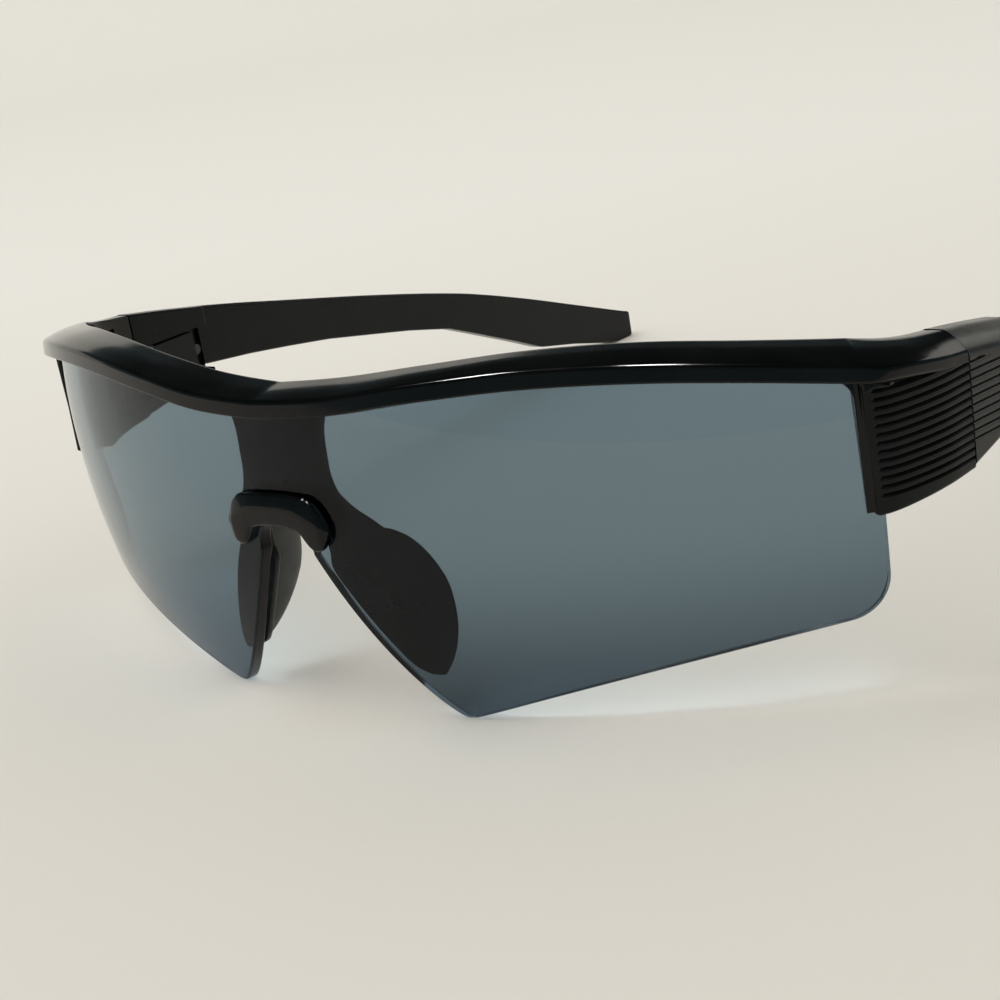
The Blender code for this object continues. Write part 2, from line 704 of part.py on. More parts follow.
def make_wing():
    """The wing that leaves the foot of the post, runs behind the lens and backs the pad."""
    rings = []
    for x, width, depth, z in zip(WING_ROOT_X, WING_ROOT_WIDTHS, WING_ROOT_DEPTHS, WING_ROOT_Z):
        near = behind_lens(x, z, LENS_CLEARANCE + WELD)
        far = behind_lens(x + width, z, LENS_CLEARANCE + WELD)
        rings.append([Vector((x, near, z)), Vector((x + width, far, z)),
                      Vector((x + width, far + depth, z)), Vector((x, near + depth, z))])
    for z in wing_levels(WING_ROWS, 1.0):
        back = pad_back(z)
        root = pad_x(PAD_CENTRE_Y, z) + PAD_FLAT + FIT_GAP
        fade = (1 - ((z - PAD_CENTRE_Z) / PAD_HALF_HEIGHT) ** 2) ** WING_FADE_SHARE
        front = behind_lens(root + WING_FRONT * fade, z, LENS_CLEARANCE)
        back = max(back, front + WING_BACK)
        inner = pad_x(front, z) + PAD_FLAT + FIT_GAP
        inner_back = pad_x(back, z) + PAD_FLAT + FIT_GAP
        rings.append([Vector((inner, behind_lens(inner, z, LENS_CLEARANCE), z)),
                      Vector((inner + WING_FRONT * fade, front, z)),
                      Vector((inner_back + WING_BACK, back, z)), Vector((inner_back, back, z))])
    return loft(rings)


# Nose pads and clip

def make_pad(collection):
    """A soft pad: flat where it lies on the wing, domed towards the nose, with a rounded rim."""
    rings = []
    for z in wing_levels(PAD_RINGS, PAD_INSET_SHARE):
        front = behind_lens(pad_x(PAD_CENTRE_Y, z), z, LENS_CLEARANCE)
        back = max(PAD_CENTRE_Y + (pad_back(z) - PAD_CENTRE_Y) * PAD_INSET_SHARE, front + PAD_DOME)
        fade = math.sqrt(1 - ((z - PAD_CENTRE_Z) / PAD_HALF_HEIGHT) ** 2)
        ring = []
        for side in range(PAD_SIDES):
            turn = 2 * math.pi * side / PAD_SIDES
            y = (front + back) / 2 + (back - front) / 2 * math.cos(turn)
            bulge = (PAD_DOME if math.sin(turn) > 0 else PAD_FLAT) * fade
            ring.append(Vector((pad_x(y, z) - bulge * math.sin(turn), y, z)))
        rings.append(ring)
    return new_object("nose_pad_left", loft(rings), collection, "soft_pad")


def make_clip(collection, cutters):
    """The saddle that straddles the lens at the top of its notch."""
    back = LENS_THICKNESS + LENS_CLEARANCE - FIT_GAP
    rings = []
    for arc in [-arc for arc in reversed(CLIP_ARCS[1:])] + list(CLIP_ARCS):
        high = float(np.interp(abs(arc), CLIP_ARCS, CLIP_TOPS))
        low = float(np.interp(abs(arc), CLIP_ARCS, CLIP_LOWS))
        edge = min(CLIP_EDGE, (high - low) * CLIP_END_SHARE)
        face = -CLIP_PROUD if abs(arc) < CLIP_ARCS[-1] else CLIP_EDGE - CLIP_PROUD
        corners = ((face, high - edge), (face + CLIP_EDGE, high), (back, high),
                   (back, low), (face + CLIP_EDGE, low), (face, low + edge))
        rings.append([lens_point(arc, height, depth) for depth, height in corners])
    clip = new_object("nose_clip", loft(rings), collection, "gloss_black")
    join(clip, helper("clip_slot", make_clip_slot(), cutters), "DIFFERENCE")
    return frozen(clip)


def make_clip_slot():
    """The lens's own shape with a gap all round, so that the saddle holds it in a channel."""
    reach = CLIP_ARCS[-1] + OVERRUN
    side = [arc for arc in lens_columns() if arc < reach]
    rings = []
    for arc in [-arc for arc in reversed(side[1:])] + side:
        low = lens_low_edge(arc) - FIT_GAP
        high = CLIP_TOPS[0] + OVERRUN
        heights = [low + (high - low) * row / LENS_ROWS for row in range(LENS_ROWS + 1)]
        front = [lens_point(arc, height, -FIT_GAP) for height in heights]
        back = [lens_point(arc, height, LENS_THICKNESS + OVERRUN) for height in heights]
        rings.append(front + back[::-1])
    return loft(rings)


# Hinges

def hinge_levels():
    """Bottom and top of the three barrels: frame, temple, frame."""
    low = BARREL_BOTTOM
    first = (low, low + KNUCKLE_HEIGHT)
    second = (first[1] + FIT_GAP, first[1] + FIT_GAP + TANG_HEIGHT)
    third = (second[1] + FIT_GAP, second[1] + FIT_GAP + KNUCKLE_HEIGHT)
    return first, second, third


def make_leaf_pocket():
    """Shallow seat for the hinge leaf in the end piece's inner side."""
    levels = hinge_levels()
    depth = LEAF_THICKNESS - LEAF_PROUD + FIT_GAP
    front = END_REAR - FIT_GAP * 2 - LEAF_LENGTH
    return box((SEAM_INNER_X - OVERRUN, front, levels[0][0] - FIT_GAP),
               (SEAM_INNER_X + depth, END_REAR + OVERRUN, levels[2][1] + FIT_GAP))


def make_frame_hinge(collection, cutters):
    """Leaf on the end piece with an upper and a lower barrel."""
    levels = hinge_levels()
    leaf_low = SEAM_INNER_X - LEAF_PROUD
    rear = END_REAR - FIT_GAP
    leaf = box((leaf_low, rear - LEAF_LENGTH, levels[0][0]),
               (leaf_low + LEAF_THICKNESS, rear, levels[2][1]))
    item = new_object("frame_hinge_left", leaf, collection, "satin_hinge")
    for name, level in (("lower", levels[0]), ("upper", levels[2])):
        arm = box((HINGE_X, rear - LEAF_LENGTH / 2, level[0]), (SEAM_INNER_X + LEAF_PROUD, rear, level[1]))
        join(item, helper(f"frame_{name}_arm", arm, cutters), "UNION")
        barrel = rod((HINGE_X, SEAM_Y), BARREL_RADIUS, level[0], level[1])
        join(item, helper(f"frame_{name}_barrel", barrel, cutters), "UNION")
    bore = rod((HINGE_X, SEAM_Y), SCREW_RADIUS + PIN_CLEARANCE,
               levels[0][0] - OVERRUN, levels[2][1] + OVERRUN)
    join(item, helper("frame_hinge_bore", bore, cutters), "DIFFERENCE")
    return frozen(item)


def make_temple_hinge(collection, cutters):
    """Block in the temple's pocket with the middle barrel on its front end."""
    level = hinge_levels()[1]
    inner = SEAM_INNER_X - BLOCK_PROUD
    body = box((inner, POCKET_FRONT + FIT_GAP, POCKET_BOTTOM + FIT_GAP),
               (SEAM_INNER_X + POCKET_DEPTH - FIT_GAP, BLOCK_END, POCKET_TOP - FIT_GAP))
    item = new_object("temple_hinge_left", body, collection, "satin_hinge")
    neck = box((HINGE_X - BARREL_RADIUS / 2, SEAM_Y, level[0]),
               (SEAM_INNER_X + NECK_DEPTH, POCKET_FRONT + BARREL_RADIUS, level[1]))
    join(item, helper("temple_neck", neck, cutters), "UNION")
    barrel = rod((HINGE_X, SEAM_Y), BARREL_RADIUS, level[0], level[1])
    join(item, helper("temple_barrel", barrel, cutters), "UNION")
    bore = rod((HINGE_X, SEAM_Y), SCREW_RADIUS + PIN_CLEARANCE, level[0] - OVERRUN, level[1] + OVERRUN)
    join(item, helper("temple_hinge_bore", bore, cutters), "DIFFERENCE")
    return frozen(item)


def small_screw_place():
    """Height and depth along the temple of the small screw in the slot behind the hinge block."""
    return (BLOCK_END + POCKET_END) / 2, (POCKET_BOTTOM + POCKET_TOP) / 2


def make_small_screw(collection, cutters):
    """The small countersunk screw in the floor of the slot behind the hinge block."""
    y, z = small_screw_place()
    floor = SEAM_INNER_X + POCKET_DEPTH
    head = cross_rod(floor - FIT_GAP - SMALL_HEAD_HEIGHT, SMALL_HEAD_HEIGHT, SMALL_HEAD_RADIUS, y, z)
    item = new_object("temple_screw_left", head, collection, "steel")
    shank = cross_rod(floor - FIT_GAP - SMALL_HEAD_HEIGHT / 2, SMALL_SHANK + SMALL_HEAD_HEIGHT / 2,
                      SMALL_SCREW_RADIUS, y, z)
    join(item, helper("small_shank", shank, cutters), "UNION")
    return frozen(item)


def make_hinge_screw(collection, cutters):
    """The slotted screw that is the hinge's pin."""
    levels = hinge_levels()
    top = levels[2][1] + FIT_GAP
    shank = rod((HINGE_X, SEAM_Y), SCREW_RADIUS, levels[0][0], top + SCREW_HEAD_HEIGHT / 2)
    item = new_object("hinge_screw_left", shank, collection, "steel")
    head = rod((HINGE_X, SEAM_Y), SCREW_HEAD_RADIUS, top, top + SCREW_HEAD_HEIGHT)
    join(item, helper("screw_head", head, cutters), "UNION")
    reach = SCREW_HEAD_RADIUS + OVERRUN
    slot = box((HINGE_X - reach, SEAM_Y - SCREW_SLOT / 2, top + SCREW_HEAD_HEIGHT / 2),
               (HINGE_X + reach, SEAM_Y + SCREW_SLOT / 2, top + SCREW_HEAD_HEIGHT + OVERRUN))
    join(item, helper("screw_slot", slot, cutters), "DIFFERENCE")
    return frozen(item)


# Temples

def temple_plan(y):
    """Outer and inner sides of the slim arm, which closes in a little towards its end."""
    share = (y - TEMPLE_STATIONS_Y[0]) / (TEMPLE_STATIONS_Y[-1] - TEMPLE_STATIONS_Y[0])
    outer = SEAM_OUTER_X - TEMPLE_ARM_INSET - TEMPLE_ARM_SHIFT * share * share
    return outer, outer - TEMPLE_ARM_THICKNESS


def arm_ring(y, top, low):
    """Rounded upright cross-section of the slim arm, with the crest on its inner side."""
    outer, inner = temple_plan(y)
    width = outer - inner
    soft = width * TEMPLE_ROUNDING_SHARE
    crest = inner + width * TEMPLE_CREST_SHARE
    return [Vector((x, y, z)) for x, z in (
        (inner, top - soft / 2), (inner + soft / 2, top), (crest, top), (outer - soft / 4, top - width / 2),
        (outer, top - width / 2 - soft), (outer, low + soft), (outer - soft / 4, low + soft / 4),
        (outer - soft, low), (inner + soft / 2, low), (inner, low + soft / 2))]


def make_arm():
    """The slim arm, from inside the ribbed block to its slanted end behind the ear."""
    rings = []
    start = TEMPLE_STATIONS_Y[1]
    for i in range(TEMPLE_ARM_RINGS + 1):
        y = start + (TEMPLE_STATIONS_Y[-1] - start) * i / TEMPLE_ARM_RINGS
        top = hermite(TEMPLE_STATIONS_Y, TEMPLE_TOP_HEIGHTS, y)
        low = float(np.interp(y, TEMPLE_STATIONS_Y, TEMPLE_LOW_HEIGHTS))
        rings.append(arm_ring(y, top, low))
    return loft(rings)


def block_stops():
    """Shares of the temple block's length at which its grooves are placed, and their depths there."""
    length = TEMPLE_BLOCK_END - SEAM_Y
    end = 1.0 - RIB_MARGIN / length
    runout = end - RIB_RUNOUT / length
    stops = [-runout / END_STATIONS] + [runout * i / END_STATIONS for i in range(END_STATIONS + 1)] + [end]
    shares = [1.0] * (len(stops) - 1) + [RIB_END_SHARE]
    return stops, shares


def block_levels(t):
    """Crest, crease and bottom of the temple block at a share t of its length."""
    y = SEAM_Y + (TEMPLE_BLOCK_END - SEAM_Y) * t
    crest = hermite(TEMPLE_STATIONS_Y, TEMPLE_TOP_HEIGHTS, y)
    crease = crest - (END_CREASE_DROPS[-1] - END_CREST_DROPS[-1] + BLOCK_CREASE_DROP)
    bottom = TEMPLE_BLOCK_LOW[0] + (TEMPLE_BLOCK_LOW[1] - TEMPLE_BLOCK_LOW[0]) * t
    return crest, crease, bottom


def make_block():
    """The deep ribbed front of the temple."""
    start = SEAM_Y + FIT_GAP / 2
    rings = []
    for i in range(END_STATIONS + 1):
        t = i / END_STATIONS
        y = start + (TEMPLE_BLOCK_END - start) * t
        crest, crease, bottom = block_levels(t)
        plan = (Vector((SEAM_OUTER_X, y)), Vector((SEAM_INNER_X, y)))
        rings.append(block_ring(plan, crease, crest, END_CREST_SHARE, 0.0, bottom))
    return loft(rings)


def make_block_ribs():
    """Grooves of the temple block, from past the seam to a margin before its rear end."""
    length = TEMPLE_BLOCK_END - SEAM_Y

    def top(t):
        return block_levels(max(t, 0.0))[1] - RIB_CLEAR / 2

    def low(t):
        return block_levels(max(t, 0.0))[2]

    def face(t, height):
        inset = draft_at(height, low(t), top(t))
        return Vector((SEAM_OUTER_X - inset, SEAM_Y + length * t, height)), Vector((1.0, 0.0, 0.0))

    stops, shares = block_stops()
    return grooves(face, stops, shares, length, low, top)


def make_temple(collection, cutters):
    """A temple: ribbed block and slim arm in one, with the hinge pocket in its inner side."""
    temple = new_object("temple_left", make_block(), collection, "gloss_black")
    join(temple, helper("arm_shape", make_arm(), cutters), "UNION")
    join(temple, helper("block_ribs", make_block_ribs(), cutters), "DIFFERENCE")
    pocket = box((SEAM_INNER_X - OVERRUN, POCKET_FRONT, POCKET_BOTTOM),
                 (SEAM_INNER_X + POCKET_DEPTH, POCKET_END, POCKET_TOP))
    join(temple, helper("hinge_pocket", pocket, cutters), "DIFFERENCE")
    level = hinge_levels()[1]
    channel = box((SEAM_INNER_X - OVERRUN, SEAM_Y - OVERRUN, level[0] - FIT_GAP),
                  (SEAM_INNER_X + NECK_DEPTH + FIT_GAP, (POCKET_FRONT + BLOCK_END) / 2, level[1] + FIT_GAP))
    join(temple, helper("neck_channel", channel, cutters), "DIFFERENCE")
    y, z = small_screw_place()
    floor = SEAM_INNER_X + POCKET_DEPTH
    hole = cross_rod(floor - FIT_GAP, SMALL_SHANK + FIT_GAP * 2, SMALL_SCREW_RADIUS + FIT_GAP, y, z)
    join(temple, helper("small_screw_hole", hole, cutters), "DIFFERENCE")
    return frozen(temple)


def main():
    parts, cutters = clear_scene()
    datum = bpy.data.objects.new("lens_apex_datum", None)
    parts.objects.link(datum)
    datum.location = datum_place()
    fixed = [make_brow_frame(parts, cutters), make_lens(parts), make_clip(parts, cutters)]
    sided = [make_pad(parts), make_frame_hinge(parts, cutters), make_hinge_screw(parts, cutters)]
    fixed += sided + [to_right(item, parts) for item in sided]
    swinging = [make_temple(parts, cutters), make_temple_hinge(parts, cutters),
                make_small_screw(parts, cutters)]
    mirrored = [to_right(item, parts) for item in swinging]
    for item in fixed:
        item.parent = datum
    for side, moving in ((1.0, swinging), (-1.0, mirrored)):
        hang_on_axis(moving, side * HINGE_X, datum, parts)


if __name__ == "__main__":
    main()
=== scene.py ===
"""Sport sunglasses, dressed: a smoke shield lens, a gloss brow frame, ribbed end pieces and folding temples."""

import json
import logging
import math
from dataclasses import dataclass, field
from enum import Enum

import bmesh
import bpy
import numpy as np
from mathutils import Matrix, Vector


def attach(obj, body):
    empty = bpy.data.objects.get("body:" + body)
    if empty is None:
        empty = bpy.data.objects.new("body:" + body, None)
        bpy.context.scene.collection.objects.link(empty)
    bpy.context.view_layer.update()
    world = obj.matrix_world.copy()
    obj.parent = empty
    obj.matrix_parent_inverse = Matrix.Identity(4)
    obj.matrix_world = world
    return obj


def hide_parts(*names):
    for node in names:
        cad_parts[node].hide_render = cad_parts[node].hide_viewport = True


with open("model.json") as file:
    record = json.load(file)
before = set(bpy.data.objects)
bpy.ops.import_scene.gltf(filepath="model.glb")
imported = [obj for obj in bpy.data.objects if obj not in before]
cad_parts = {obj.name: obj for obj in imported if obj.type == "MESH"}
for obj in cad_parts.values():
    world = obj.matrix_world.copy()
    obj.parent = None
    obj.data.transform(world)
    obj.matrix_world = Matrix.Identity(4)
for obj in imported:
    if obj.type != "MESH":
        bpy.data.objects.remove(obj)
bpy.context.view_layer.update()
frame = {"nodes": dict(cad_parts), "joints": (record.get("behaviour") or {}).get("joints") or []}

log = logging.getLogger("sunglasses")

Array = np.ndarray
Piece = bpy.types.Object
Socket = bpy.types.NodeSocket
Colour = tuple[float, float, float]
Place = tuple[float, float, float]
Sizes = tuple[float, ...]

NUDGE = 1e-5  # half the width of a step in a surface, in metres
OFF = 0.002  # how far off a point of reference stands
WIDE = 0.01  # a radius that only the sides of its corner limit
SIDE_SHARE = 0.48  # how much of its shorter side a rounded corner may take
FINE, COARSE = 7, 5  # points of a rounded corner, in sight and below
SHARP = 34.0  # angle in degrees above which an edge stays sharp
REARWARDS = np.array([0.0, 1.0, 0.0])
TINT_RUN = (0.35, 0.65)  # the middle of a noise, which is stretched into colours
NOISE_RUN = (0.3, 0.7)  # the same for other values


class Side(Enum):
    """The wearer's left at +X, and the right at -X."""

    LEFT = 1.0
    RIGHT = -1.0

    @property
    def word(self) -> str:
        """The side's name as pieces and nodes spell it."""
        return self.name.lower()

    @property
    def temple_body(self) -> str:
        """The body that the temple on this side turns with."""
        return f"{self.word}_temple"


class Slot(Enum):
    """Material slots of the record."""

    FRAME = "frame_black"
    TEMPLE = "temple_black"
    LENS = "smoke_lens"
    PAD = "soft_pad"
    HINGE = "hinge_satin"
    STEEL = "screw_steel"


# Curves and skins

def smooth_values(places: Array, values: Array, at: Array) -> Array:
    """Cubic curve through listed values: each slope is the mean slope of its neighbours.

    Args:
        places: rising places of the values.
        values: the values, one row for each place.
        at: the places that are asked for.

    Returns:
        One value or row for each place asked for.
    """
    spots = np.asarray(places, float)
    sizes = np.asarray(values, float)
    slopes = np.gradient(sizes, spots, axis=0)
    at = np.clip(at, spots[0], spots[-1])
    low = np.clip(np.searchsorted(spots, at, side="right") - 1, 0, len(spots) - 2)
    tail = (1,) * (sizes.ndim - 1)
    span = (spots[low + 1] - spots[low]).reshape(np.shape(at) + tail)
    u = (at - spots[low]).reshape(np.shape(at) + tail) / span
    start = (1 + 2 * u) * (1 - u) ** 2 * sizes[low] + u * (1 - u) ** 2 * span * slopes[low]
    end = u * u * (3 - 2 * u) * sizes[low + 1] + u * u * (u - 1) * span * slopes[low + 1]
    return start + end


def ease(value: Array) -> Array:
    """A soft step from 0 to 1: 3u^2 - 2u^3 of the value held between 0 and 1."""
    u = np.clip(value, 0.0, 1.0)
    return u * u * (3 - 2 * u)


def columns(*parts: Array | float) -> Array:
    """Spreads the parts to one shape and stands them side by side on a new last axis."""
    return np.stack(np.broadcast_arrays(*parts), axis=-1)


def quarter_circle(radius: float, place: Array) -> Array:
    """Height of a quarter circle: sqrt(r^2 - x^2), with the place x held between 0 and r."""
    return np.sqrt(radius ** 2 - np.clip(place, 0.0, radius) ** 2)


def rounded_chain(chain: Array, radii: Array, steps: int) -> Array:
    """Rounds the inner points of open chains: a quadratic curve replaces each corner.

    The curve is (1-u)^2 A + 2u(1-u) C + u^2 B, where C is the corner and A and B lie a radius away from it
    on its two sides, or just short of half a side where that is nearer.

    Args:
        chain: (rings, corners + 2, 3), with a point of reference at each end.
        radii: (corners,) or (rings, corners).
        steps: points for each corner.

    Returns:
        (rings, corners * steps, 3).
    """
    corner = chain[:, 1:-1]
    back = chain[:, :-2] - corner
    ahead = chain[:, 2:] - corner
    back_length = np.maximum(np.linalg.norm(back, axis=2, keepdims=True), 1e-9)
    ahead_length = np.maximum(np.linalg.norm(ahead, axis=2, keepdims=True), 1e-9)
    shortest = SIDE_SHARE * np.minimum(back_length, ahead_length)
    reach = np.minimum(np.broadcast_to(radii, corner.shape[:2])[..., None], shortest)
    first = (corner + back / back_length * reach)[:, :, None]
    last = (corner + ahead / ahead_length * reach)[:, :, None]
    u = np.linspace(0.0, 1.0, steps)[:, None]
    curve = (1 - u) ** 2 * first + 2 * u * (1 - u) * corner[:, :, None] + u * u * last
    return curve.reshape(len(chain), -1, 3)


def rounded_rings(rings: Array, radii: Array, steps: int) -> Array:
    """The same for closed rings of corners."""
    return rounded_chain(np.concatenate([rings[:, -1:], rings, rings[:, :1]], axis=1), radii, steps)


def rounded_end(ring: Array, ahead: Array, radius: float, steps: int) -> Array:
    """Rings that close a section with a rounded edge.

    At an angle a the ring stands radius*sin(a) ahead, and each half size is radius*(1-cos(a)) smaller.

    Args:
        ring: (points, 3), the last full section.
        ahead: unit direction of the path.
        radius: radius of the edge.
        steps: number of rings.

    Returns:
        (steps, points, 3).
    """
    angles = np.linspace(0.0, math.pi / 2, steps + 1)[1:, None, None]
    middle = (ring.max(axis=0) + ring.min(axis=0)) / 2
    half = np.maximum((ring.max(axis=0) - ring.min(axis=0)) / 2, radius)
    scale = np.where(np.abs(ahead) > 0.5, 1.0, 1.0 - radius * (1 - np.cos(angles)) / half)
    return middle + (ring - middle) * scale + ahead * radius * np.sin(angles)


def skin_faces(count: int, around: int) -> tuple[Array, Array, Array]:
    """Four-sided faces between neighbouring rings, and the two end faces, all with one turning sense."""
    index = np.arange(count * around).reshape(count, around)
    near, far = index[:-1], index[1:]
    sides = np.stack([near, np.roll(near, -1, 1), np.roll(far, -1, 1), far], axis=2).reshape(-1, 4)
    return sides, index[0][::-1], index[-1]


def skin_mesh(name: str, rings: Array, sharp: float = SHARP, merge: float = 2e-6) -> bpy.types.Mesh:
    """A closed mesh through rings of equal length, with its faces turned outwards.

    The turning sense comes from the sign of the volume, which is the sum of a.(b x c) / 6 over triangles.

    Args:
        name: name of the mesh.
        rings: (rings, points, 3).
        sharp: angle in degrees above which an edge stays sharp.
        merge: points nearer than this become one.

    Returns:
        The finished mesh.
    """
    points = rings.reshape(-1, 3)
    sides, start, end = skin_faces(*rings.shape[:2])
    corners = np.concatenate([sides[:, [0, 1, 2]], sides[:, [0, 2, 3]]]
                             + [np.stack([np.full(len(cap) - 2, cap[0]), cap[1:-1], cap[2:]], axis=1)
                                for cap in (start, end)])
    a, b, c = (points[corners[:, i]] for i in range(3))
    inside_out = np.einsum("ij,ij->i", a, np.cross(b, c)).sum() < 0
    faces = sides.tolist() + [start.tolist(), end.tolist()]
    mesh = bpy.data.meshes.new(name)
    mesh.from_pydata(points.tolist(), [], faces)
    bm = bmesh.new()
    bm.from_mesh(mesh)
    if inside_out:
        bmesh.ops.reverse_faces(bm, faces=bm.faces)
    bmesh.ops.remove_doubles(bm, verts=bm.verts, dist=merge)
    bmesh.ops.dissolve_degenerate(bm, edges=bm.edges, dist=merge / 2)
    bm.to_mesh(mesh)
    bm.free()
    mesh.shade_smooth()
    mesh.set_sharp_from_angle(angle=math.radians(sharp))
    return mesh


def face_values(piece: Piece, name: str) -> Array:
    """The centres or normals (faces, 3) of a piece's faces."""
    values = np.empty(len(piece.data.polygons) * 3)
    piece.data.polygons.foreach_get(name, values)
    return values.reshape(-1, 3)


# Finishes

class Shader:
    """The node tree of a material or of the world, with short calls to add its nodes."""

    def __init__(self, owner: bpy.types.ID, output: str = "ShaderNodeOutputMaterial") -> None:
        """Starts an empty tree with an output."""
        owner.use_nodes = True
        self.owner, self.tree = owner, owner.node_tree
        self.tree.nodes.clear()
        self.output = self.tree.nodes.new(output)

    def add(self, kind: str, inputs: dict[str | int, object], **settings: object) -> bpy.types.Node:
        """Adds a node.

        Args:
            kind: Blender's name of the node.
            inputs: what each input gets, either the output that it is joined to or a constant.
            settings: properties of the node itself.

        Returns:
            The node.
        """
        node = self.tree.nodes.new(kind)
        for name, value in settings.items():
            setattr(node, name, value)
        for name, value in inputs.items():
            if isinstance(value, bpy.types.NodeSocket):
                self.tree.links.new(value, node.inputs[name])
            else:
                node.inputs[name].default_value = value
        return node

    def place(self, kind: str = "Object") -> Socket:
        """Coordinates of one kind."""
        return self.add("ShaderNodeTexCoord", {}).outputs[kind]

    def height(self, kind: str = "Object") -> Socket:
        """The upright part of the coordinates."""
        return self.add("ShaderNodeSeparateXYZ", {"Vector": self.place(kind)}).outputs["Z"]

    def noise(self, scale: float, detail: float = 2.0) -> Socket:
        """Noise on the object's own coordinates, whose scale is in waves for each metre."""
        node = self.add("ShaderNodeTexNoise", {"Vector": self.place(), "Scale": scale, "Detail": detail})
        return node.outputs["Fac"]

    def spread(self, value: Socket, start: float, end: float, low: float = 0.0, high: float = 1.0) -> Socket:
        """Stretches what lies between a start and an end to run between two values."""
        return self.add("ShaderNodeMapRange", {"Value": value, "From Min": start, "From Max": end,
                                               "To Min": low, "To Max": high}).outputs["Result"]

    def tint(self, value: Socket, low: Colour, high: Colour, start: float = 0.0, end: float = 1.0,
             blend: str = "LINEAR") -> Socket:
        """Turns a value into a colour between two, which stand at its start and end."""
        node = self.add("ShaderNodeValToRGB", {"Fac": value})
        ramp = node.color_ramp
        ramp.interpolation = blend
        ramp.elements[0].position, ramp.elements[1].position = start, end
        ramp.elements[0].color, ramp.elements[1].color = (*low, 1.0), (*high, 1.0)
        return node.outputs["Color"]

    def bump(self, value: Socket, height: float) -> Socket:
        """Turns a noise into a height in metres on the surface."""
        return self.add("ShaderNodeBump", {"Height": value, "Distance": height, "Strength": 1.0}).outputs["Normal"]

    def finish(self, first: bpy.types.Node, share: Socket | None = None,
               second: bpy.types.Node | None = None) -> bpy.types.ID:
        """Joins a surface, or a mix of two by a share, to the output and gives the owner."""
        surface = first.outputs[0]
        if second:
            surface = self.add("ShaderNodeMixShader", {"Fac": share, 1: surface, 2: second.outputs[0]}).outputs[0]
        self.tree.links.new(surface, self.output.inputs["Surface"])
        return self.owner


@dataclass(frozen=True)
class Moulded:
    """Moulded plastic or rubber: slow changes of colour and gloss, and a fine grain in the skin."""

    name: str
    dark: Colour
    light: Colour
    smooth: float
    rough: float
    grain_scale: float
    grain_height: float
    specular: float
    cloud_scale: float = 130.0
    gloss_scale: float = 320.0

    def material(self) -> bpy.types.Material:
        """Builds the material."""
        shader = Shader(bpy.data.materials.new(self.name))
        return shader.finish(shader.add("ShaderNodeBsdfPrincipled", {
            "IOR": 1.5, "Specular IOR Level": self.specular,
            "Base Color": shader.tint(shader.noise(self.cloud_scale), self.dark, self.light, *TINT_RUN),
            "Roughness": shader.spread(shader.noise(self.gloss_scale, 3.0), *NOISE_RUN, self.smooth, self.rough),
            "Normal": shader.bump(shader.noise(self.grain_scale, 1.0), self.grain_height)}))


@dataclass(frozen=True)
class Turned:
    """Turned steel: small specks of a darker tone, a slightly uneven gloss and a fine grain."""

    name: str
    colour: Colour
    smooth: float
    rough: float
    darker_share: float = 0.7
    grain_height: float = 3e-6

    def material(self) -> bpy.types.Material:
        """Builds the material."""
        shader = Shader(bpy.data.materials.new(self.name))
        darker = tuple(part * self.darker_share for part in self.colour)
        return shader.finish(shader.add("ShaderNodeBsdfPrincipled", {
            "Metallic": 1.0, "Base Color": shader.tint(shader.noise(2500.0, 3.0), darker, self.colour, *TINT_RUN),
            "Roughness": shader.spread(shader.noise(6000.0), *NOISE_RUN, self.smooth, self.rough),
            "Normal": shader.bump(shader.noise(9000.0, 1.0), self.grain_height)}))


@dataclass(frozen=True)
class Smoke:
    """Smoke polycarbonate: clear glass whose grey is a little deeper towards the lower edge.

    Shadow rays pass through a plain see-through surface of a lighter grey.
    """

    name: str
    upper: Colour
    lower: Colour
    shadow: Colour
    high_height: float = 0.024
    roughness: float = 0.02
    ior: float = 1.26

    def material(self) -> bpy.types.Material:
        """Builds the material."""
        shader = Shader(bpy.data.materials.new(self.name))
        share = shader.spread(shader.height(), 0.0, self.high_height)
        glass = shader.add("ShaderNodeBsdfPrincipled", {
            "IOR": self.ior, "Roughness": self.roughness, "Transmission Weight": 1.0,
            "Base Color": shader.tint(share, self.lower, self.upper, blend="EASE")})
        clear = shader.add("ShaderNodeBsdfTransparent", {"Color": (*self.shadow, 1.0)})
        path = shader.add("ShaderNodeLightPath", {})
        return shader.finish(glass, path.outputs["Is Shadow Ray"], clear)


@dataclass(frozen=True)
class Paper:
    """Pale matt paper of the floor and the backdrop with a faint unevenness; painted shade makes it darker in front
    and painted light makes it lighter and cooler behind.
    """

    name: str
    front: Colour
    back: Colour
    direction: Place
    front_run: float = -0.16
    back_run: float = 0.30
    unevenness: float = 0.08
    noise_scale: float = 3.0

    def material(self) -> bpy.types.Material:
        """Builds the material."""
        shader = Shader(bpy.data.materials.new(self.name))
        along = shader.add("ShaderNodeVectorMath", {0: shader.place(), 1: self.direction}, operation="DOT_PRODUCT")
        # Painted shade and painted light: the base colour runs from the darker front colour to the lighter, cooler
        # back one along the direction.
        share = shader.spread(along.outputs["Value"], self.front_run, self.back_run)
        uneven = shader.add("ShaderNodeMath", {0: shader.noise(self.noise_scale), 1: self.unevenness, 2: share},
                            operation="MULTIPLY_ADD")
        return shader.finish(shader.add("ShaderNodeBsdfPrincipled", {
            "Roughness": 0.85, "Specular IOR Level": 0.2,
            "Base Color": shader.tint(uneven.outputs["Value"], self.front, self.back)}))


